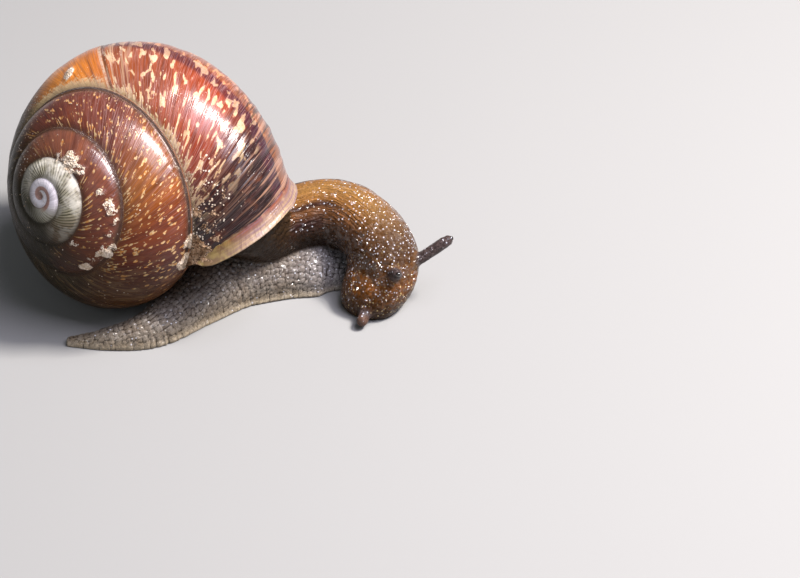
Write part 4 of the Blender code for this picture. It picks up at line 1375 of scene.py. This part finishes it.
def skin_material():
    """Wet skin: each part's own colours on the raised cells, dark grooves that are partly painted shade,
    fine grains, and painted glints.
    """
    mat, nodes, shader = new_material("wet_skin", Coat_Roughness=0.06, Coat_IOR=1.5, Specular_IOR_Level=0.1)
    on_foot, on_stalk, on_feeler, headward, upward = nodes.attributes(
        "on_foot", "on_stalk", "on_feeler", "headward", "upward")
    raised, cell, hem, dark_band, pale_tip = nodes.attributes(
        "raised", "cell", "hem", "dark_band", "pale_tip")
    away, around, along, height = nodes.attributes("away", "around", "along", "height")
    place = nodes.object_place()
    patches = nodes.noise(place, 0.7, 3.0, 0.6)
    fine = nodes.noise(place, 6.0, 3.0, 0.6)
    grains = nodes.cells(place, 4.2)
    grain_tint = nodes.maths("FRACT", nodes.red(nodes.cells(place, 4.2, output=1)) * 7.0)
    small_grains = nodes.cells(place, 8.5)

    # Neck: ochre above, brown at the sides, dark below, with two dark bands a side; the pale back and dark
    # underside are partly painted light and shade, and the low side near the shell gets painted shade.
    neck = (away / 180.0).ramp(NECK_COLOURS)
    # Painted shade: the neck's low side near the shell is darkened under the lip.
    behind = along.ease(7.5, 3.5) * away.ease(55.0, 85.0)
    neck = neck.tinted(behind * 0.88, (32, 23, 14))
    head = (height / HEAD_HEIGHT).ramp(HEAD_COLOURS)
    head = head.tinted(patches.ease(0.38, 0.68, 0.0, 0.4), (76, 46, 22))
    stalk_neck = neck.tinted(headward, head)
    stalk_neck = stalk_neck.tinted(dark_band * 0.92, (42, 22, 24))
    flank = (height / FLANK_HEIGHT).ramp(FLANK_COLOURS)
    flank = flank.tinted(patches.ease(0.4, 0.65, 0.0, 0.45), (96, 80, 64))
    flank = flank.tinted(cell.ease(0.2, 0.9, 0.0, 0.25), (168, 158, 146))
    x = nodes.add("ShaderNodeSeparateXYZ", 0, Vector=place)
    # Painted sheen: towards its front the flank is paled to a bluish grey.
    flank = flank.tinted(x.ease(4.0, 9.0, 0.0, 0.6), (152, 150, 158))
    base = stalk_neck.tinted(on_foot, flank)
    # The stalk under the lip: dark brown, partly its own colour, partly painted shade of the shell.
    base = base.tinted(on_stalk, (52, 38, 24))
    base = base.tinted(hem * 0.5, (172, 158, 136))
    base = base.tinted(on_feeler, nodes.mix(fine.ease(0.35, 0.65), (50, 40, 40), (84, 70, 68)))
    base = base.tinted(pale_tip, (118, 80, 54))

    # The neck's own pattern: long thin ridges above, a mesh of small cells at the sides.
    wander = (nodes.noise(place, 1.1, 2.0) - 0.5) * 0.5
    lined = nodes.vector(along * (1 / 2.2), (around + wander) * (1 / 0.24))
    meshed = nodes.vector(along * (1 / 0.42), around * (1 / 0.29))
    ridge = nodes.cells(lined, 1.0, "DISTANCE_TO_EDGE", 0.85).ease(0.0, 0.3)
    mesh = nodes.cells(meshed, 1.0, "DISTANCE_TO_EDGE", 0.85).ease(0.0, 0.32)
    at_side = away.ease(60.0, 90.0)
    neck_cells = ridge.blend(mesh, at_side)
    on_neck = (1.0 - on_foot) * (1.0 - on_feeler)
    on_neck = on_neck * (1.0 - headward)
    # Dark lines between the neck's cells, stronger lower down: partly furrows, partly painted shade.
    between = (1.0 - neck_cells) * on_neck
    base = base.tinted(between * away.ease(50.0, 80.0, 0.3, 0.7), (44, 27, 16))

    # Grooves darkened, partly the skin's own furrows and partly painted shade, and pale golden grains on the
    # head.
    groove = raised.ease(0.55, 0.1)
    depth = groove * (0.35 * (1.0 - headward) + 0.12 * headward)
    depth = depth.blend(groove * 0.85, on_foot)
    base = base.tinted(depth, (34, 24, 16))
    golden = grains.ease(0.34, 0.18) * grain_tint.ease(0.42, 0.7)
    golden = golden * (headward * height.ease(5.0, 2.0, 0.2, 0.9))
    base = base.tinted(golden, (206, 180, 126))
    base = base.tinted(small_grains.ease(0.3, 0.7, 0.0, 0.3), (30, 20, 12))
    # Wet grains: each cell is a low dome, tilted its own way, so that single ones catch the light.
    # Painted glints: on the upper side, and on the foot's front, some cells also get a white dot in the
    # colour.
    wet = nodes.cells(place, 3.9, randomness=0.9, output=None)
    pick = nodes.maths("FRACT", nodes.red(wet["Color"]) * 13.0)
    painted_glint_zone = upward * along.ease(3.0, 9.0, 0.14, 0.72)
    painted_glint_zone = painted_glint_zone * (1.0 - on_stalk)
    painted_glint_front = on_foot * upward * x.ease(2.0, 8.0, 0.0, 0.55)
    painted_glint_zone = nodes.most(painted_glint_zone, painted_glint_front)
    picked = (pick + painted_glint_zone).ease(1.0, 1.03)
    painted_glint = wet["Distance"].ease(0.27, 0.17) * picked
    base = base.tinted(painted_glint * 0.5, (236, 238, 250))
    nodes.put(shader, "Base Color", base)
    nodes.put(shader, "Roughness", fine.ease(0.3, 0.7, 0.28, 0.48))
    offset = nodes.vector_maths("SUBTRACT", place, wet["Position"])
    tilt = nodes.vector_maths("SUBTRACT", wet["Color"], (0.5, 0.5, 0.5))
    slope = nodes.vector_maths("DOT_PRODUCT", offset, tilt, "Value")
    round_off = nodes.vector_maths("DOT_PRODUCT", offset, offset, "Value")
    amount = headward + 0.55
    domes = slope * (amount * 1.9) - round_off * amount * 1.1
    grain = domes * 0.2 + fine * 0.02
    grain += neck_cells * (on_neck * 0.07)
    nodes.put(shader, "Normal", nodes.bump(grain, 1.0, MM))
    nodes.put(shader, "Coat Normal", nodes.bump(domes + grain * 0.2, 1.0, MM))
    low_coat = height.ease(1.0, 4.0, 0.35, 1.0)
    dull = nodes.most(on_stalk * 0.8, on_feeler * 0.6)
    dull = nodes.most(dull, (1.0 - on_foot) * along.ease(8.0, 4.0, 0.0, 0.65))
    nodes.put(shader, "Coat Weight", low_coat * (1.0 - dull))
    return mat


# ---- stage, light and camera
FLOOR_HALF = 400.0              # half the floor's side
FLOOR_GAP = 0.02
LIGHT_AIM = (0, 0, 6)           # the lights look at this point of the snail
CAMERA_PLACE = (12.557, -129.21, 106.64)
CAMERA_TILT = math.radians(50.0)    # up from looking straight down


def build_stage():
    """A plain floor of middle grey, a hair below the snail."""
    corners = np.array([[-1, -1, 0], [1, -1, 0], [1, 1, 0], [-1, 1, 0]])
    points = corners * FLOOR_HALF - np.array([0, 0, FLOOR_GAP])
    mat, _, shader = new_material("pale_floor", Roughness=0.75)
    shader.inputs["Base Color"].default_value = (0.27, 0.266, 0.26, 1.0)
    floor = make_piece("floor", points, [np.array([[0, 1, 2, 3]])], mat)


def add_light(name, direction, distance, size, power, tint=(1, 1, 1)):
    """A square softbox that looks at the middle of the snail from a direction."""
    light = bpy.data.lights.new(name, "AREA")
    light.size = size * MM
    light.energy = power
    light.color = tint
    lamp = bpy.data.objects.new(name, light)
    away = Vector(direction).normalized()
    lamp.location = (away * distance + Vector(LIGHT_AIM)) * MM
    lamp.rotation_euler = away.to_track_quat("Z", "Y").to_euler()
    bpy.context.scene.collection.objects.link(lamp)


def build_camera():
    """A long lens that looks along +Y and down by 40 degrees."""
    camera = bpy.data.cameras.new("camera")
    camera.lens = 100.0
    camera.sensor_width = 36.0
    camera.clip_start = 0.005
    eye = bpy.data.objects.new("camera", camera)
    eye.location = Vector(CAMERA_PLACE) * MM
    eye.rotation_euler = (CAMERA_TILT, 0.0, 0.0)
    bpy.context.scene.collection.objects.link(eye)
    bpy.context.scene.camera = eye


def build_world():
    """A dim, even, slightly blue surround."""
    world = bpy.data.worlds.new("studio")
    world.use_nodes = True
    background = world.node_tree.nodes["Background"]
    background.inputs["Color"].default_value = (0.9, 0.95, 1.0, 1.0)
    background.inputs["Strength"].default_value = 0.13
    bpy.context.scene.world = world
    bpy.context.scene.view_settings.view_transform = "Standard"


def main():
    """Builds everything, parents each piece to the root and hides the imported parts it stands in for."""
    eyes = []
    for name in ("eye_left", "eye_right"):
        corners = np.array(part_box(name)) / MM
        eyes.append((name, corners.mean(axis=0), 0.5 * (corners[1] - corners[0]).min()))
    build_stage()
    build_camera()
    build_world()
    add_light("key", (0.56, 0.03, 0.83), 260, 46, 1.35, (1.0, 0.96, 0.9))
    add_light("panel", (0.46, -0.12, 0.87), 280, 190, 1.05, (0.86, 0.85, 1.0))
    add_light("fill", (-0.5, -0.7, 0.6), 300, 200, 0.09, (0.9, 0.95, 1.0))
    soil = soil_group()
    pieces = [
        (build_shell(shell_material(soil)), "shell", ("shell_spire", "shell_body_whorl")),
        (build_lip(lip_material(soil)), "shell_lip", ("shell_lip",)),
        (build_skin(skin_material()), "neck",
         ("tail", "foot_middle", "foot_front", "trunk", "neck_rear", "neck_front", "head", "mantle_collar",
          "upper_tentacle_left", "upper_tentacle_right", "lower_tentacle_left", "lower_tentacle_right")),
    ]
    black = eye_material()
    for name, places, radius in eyes:
        pieces.append((build_eye(name + "_ball", places, radius, black), "eye", (name,)))
    for piece, slot, nodes in pieces:
        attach(piece, "root")
        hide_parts(*nodes)


main()
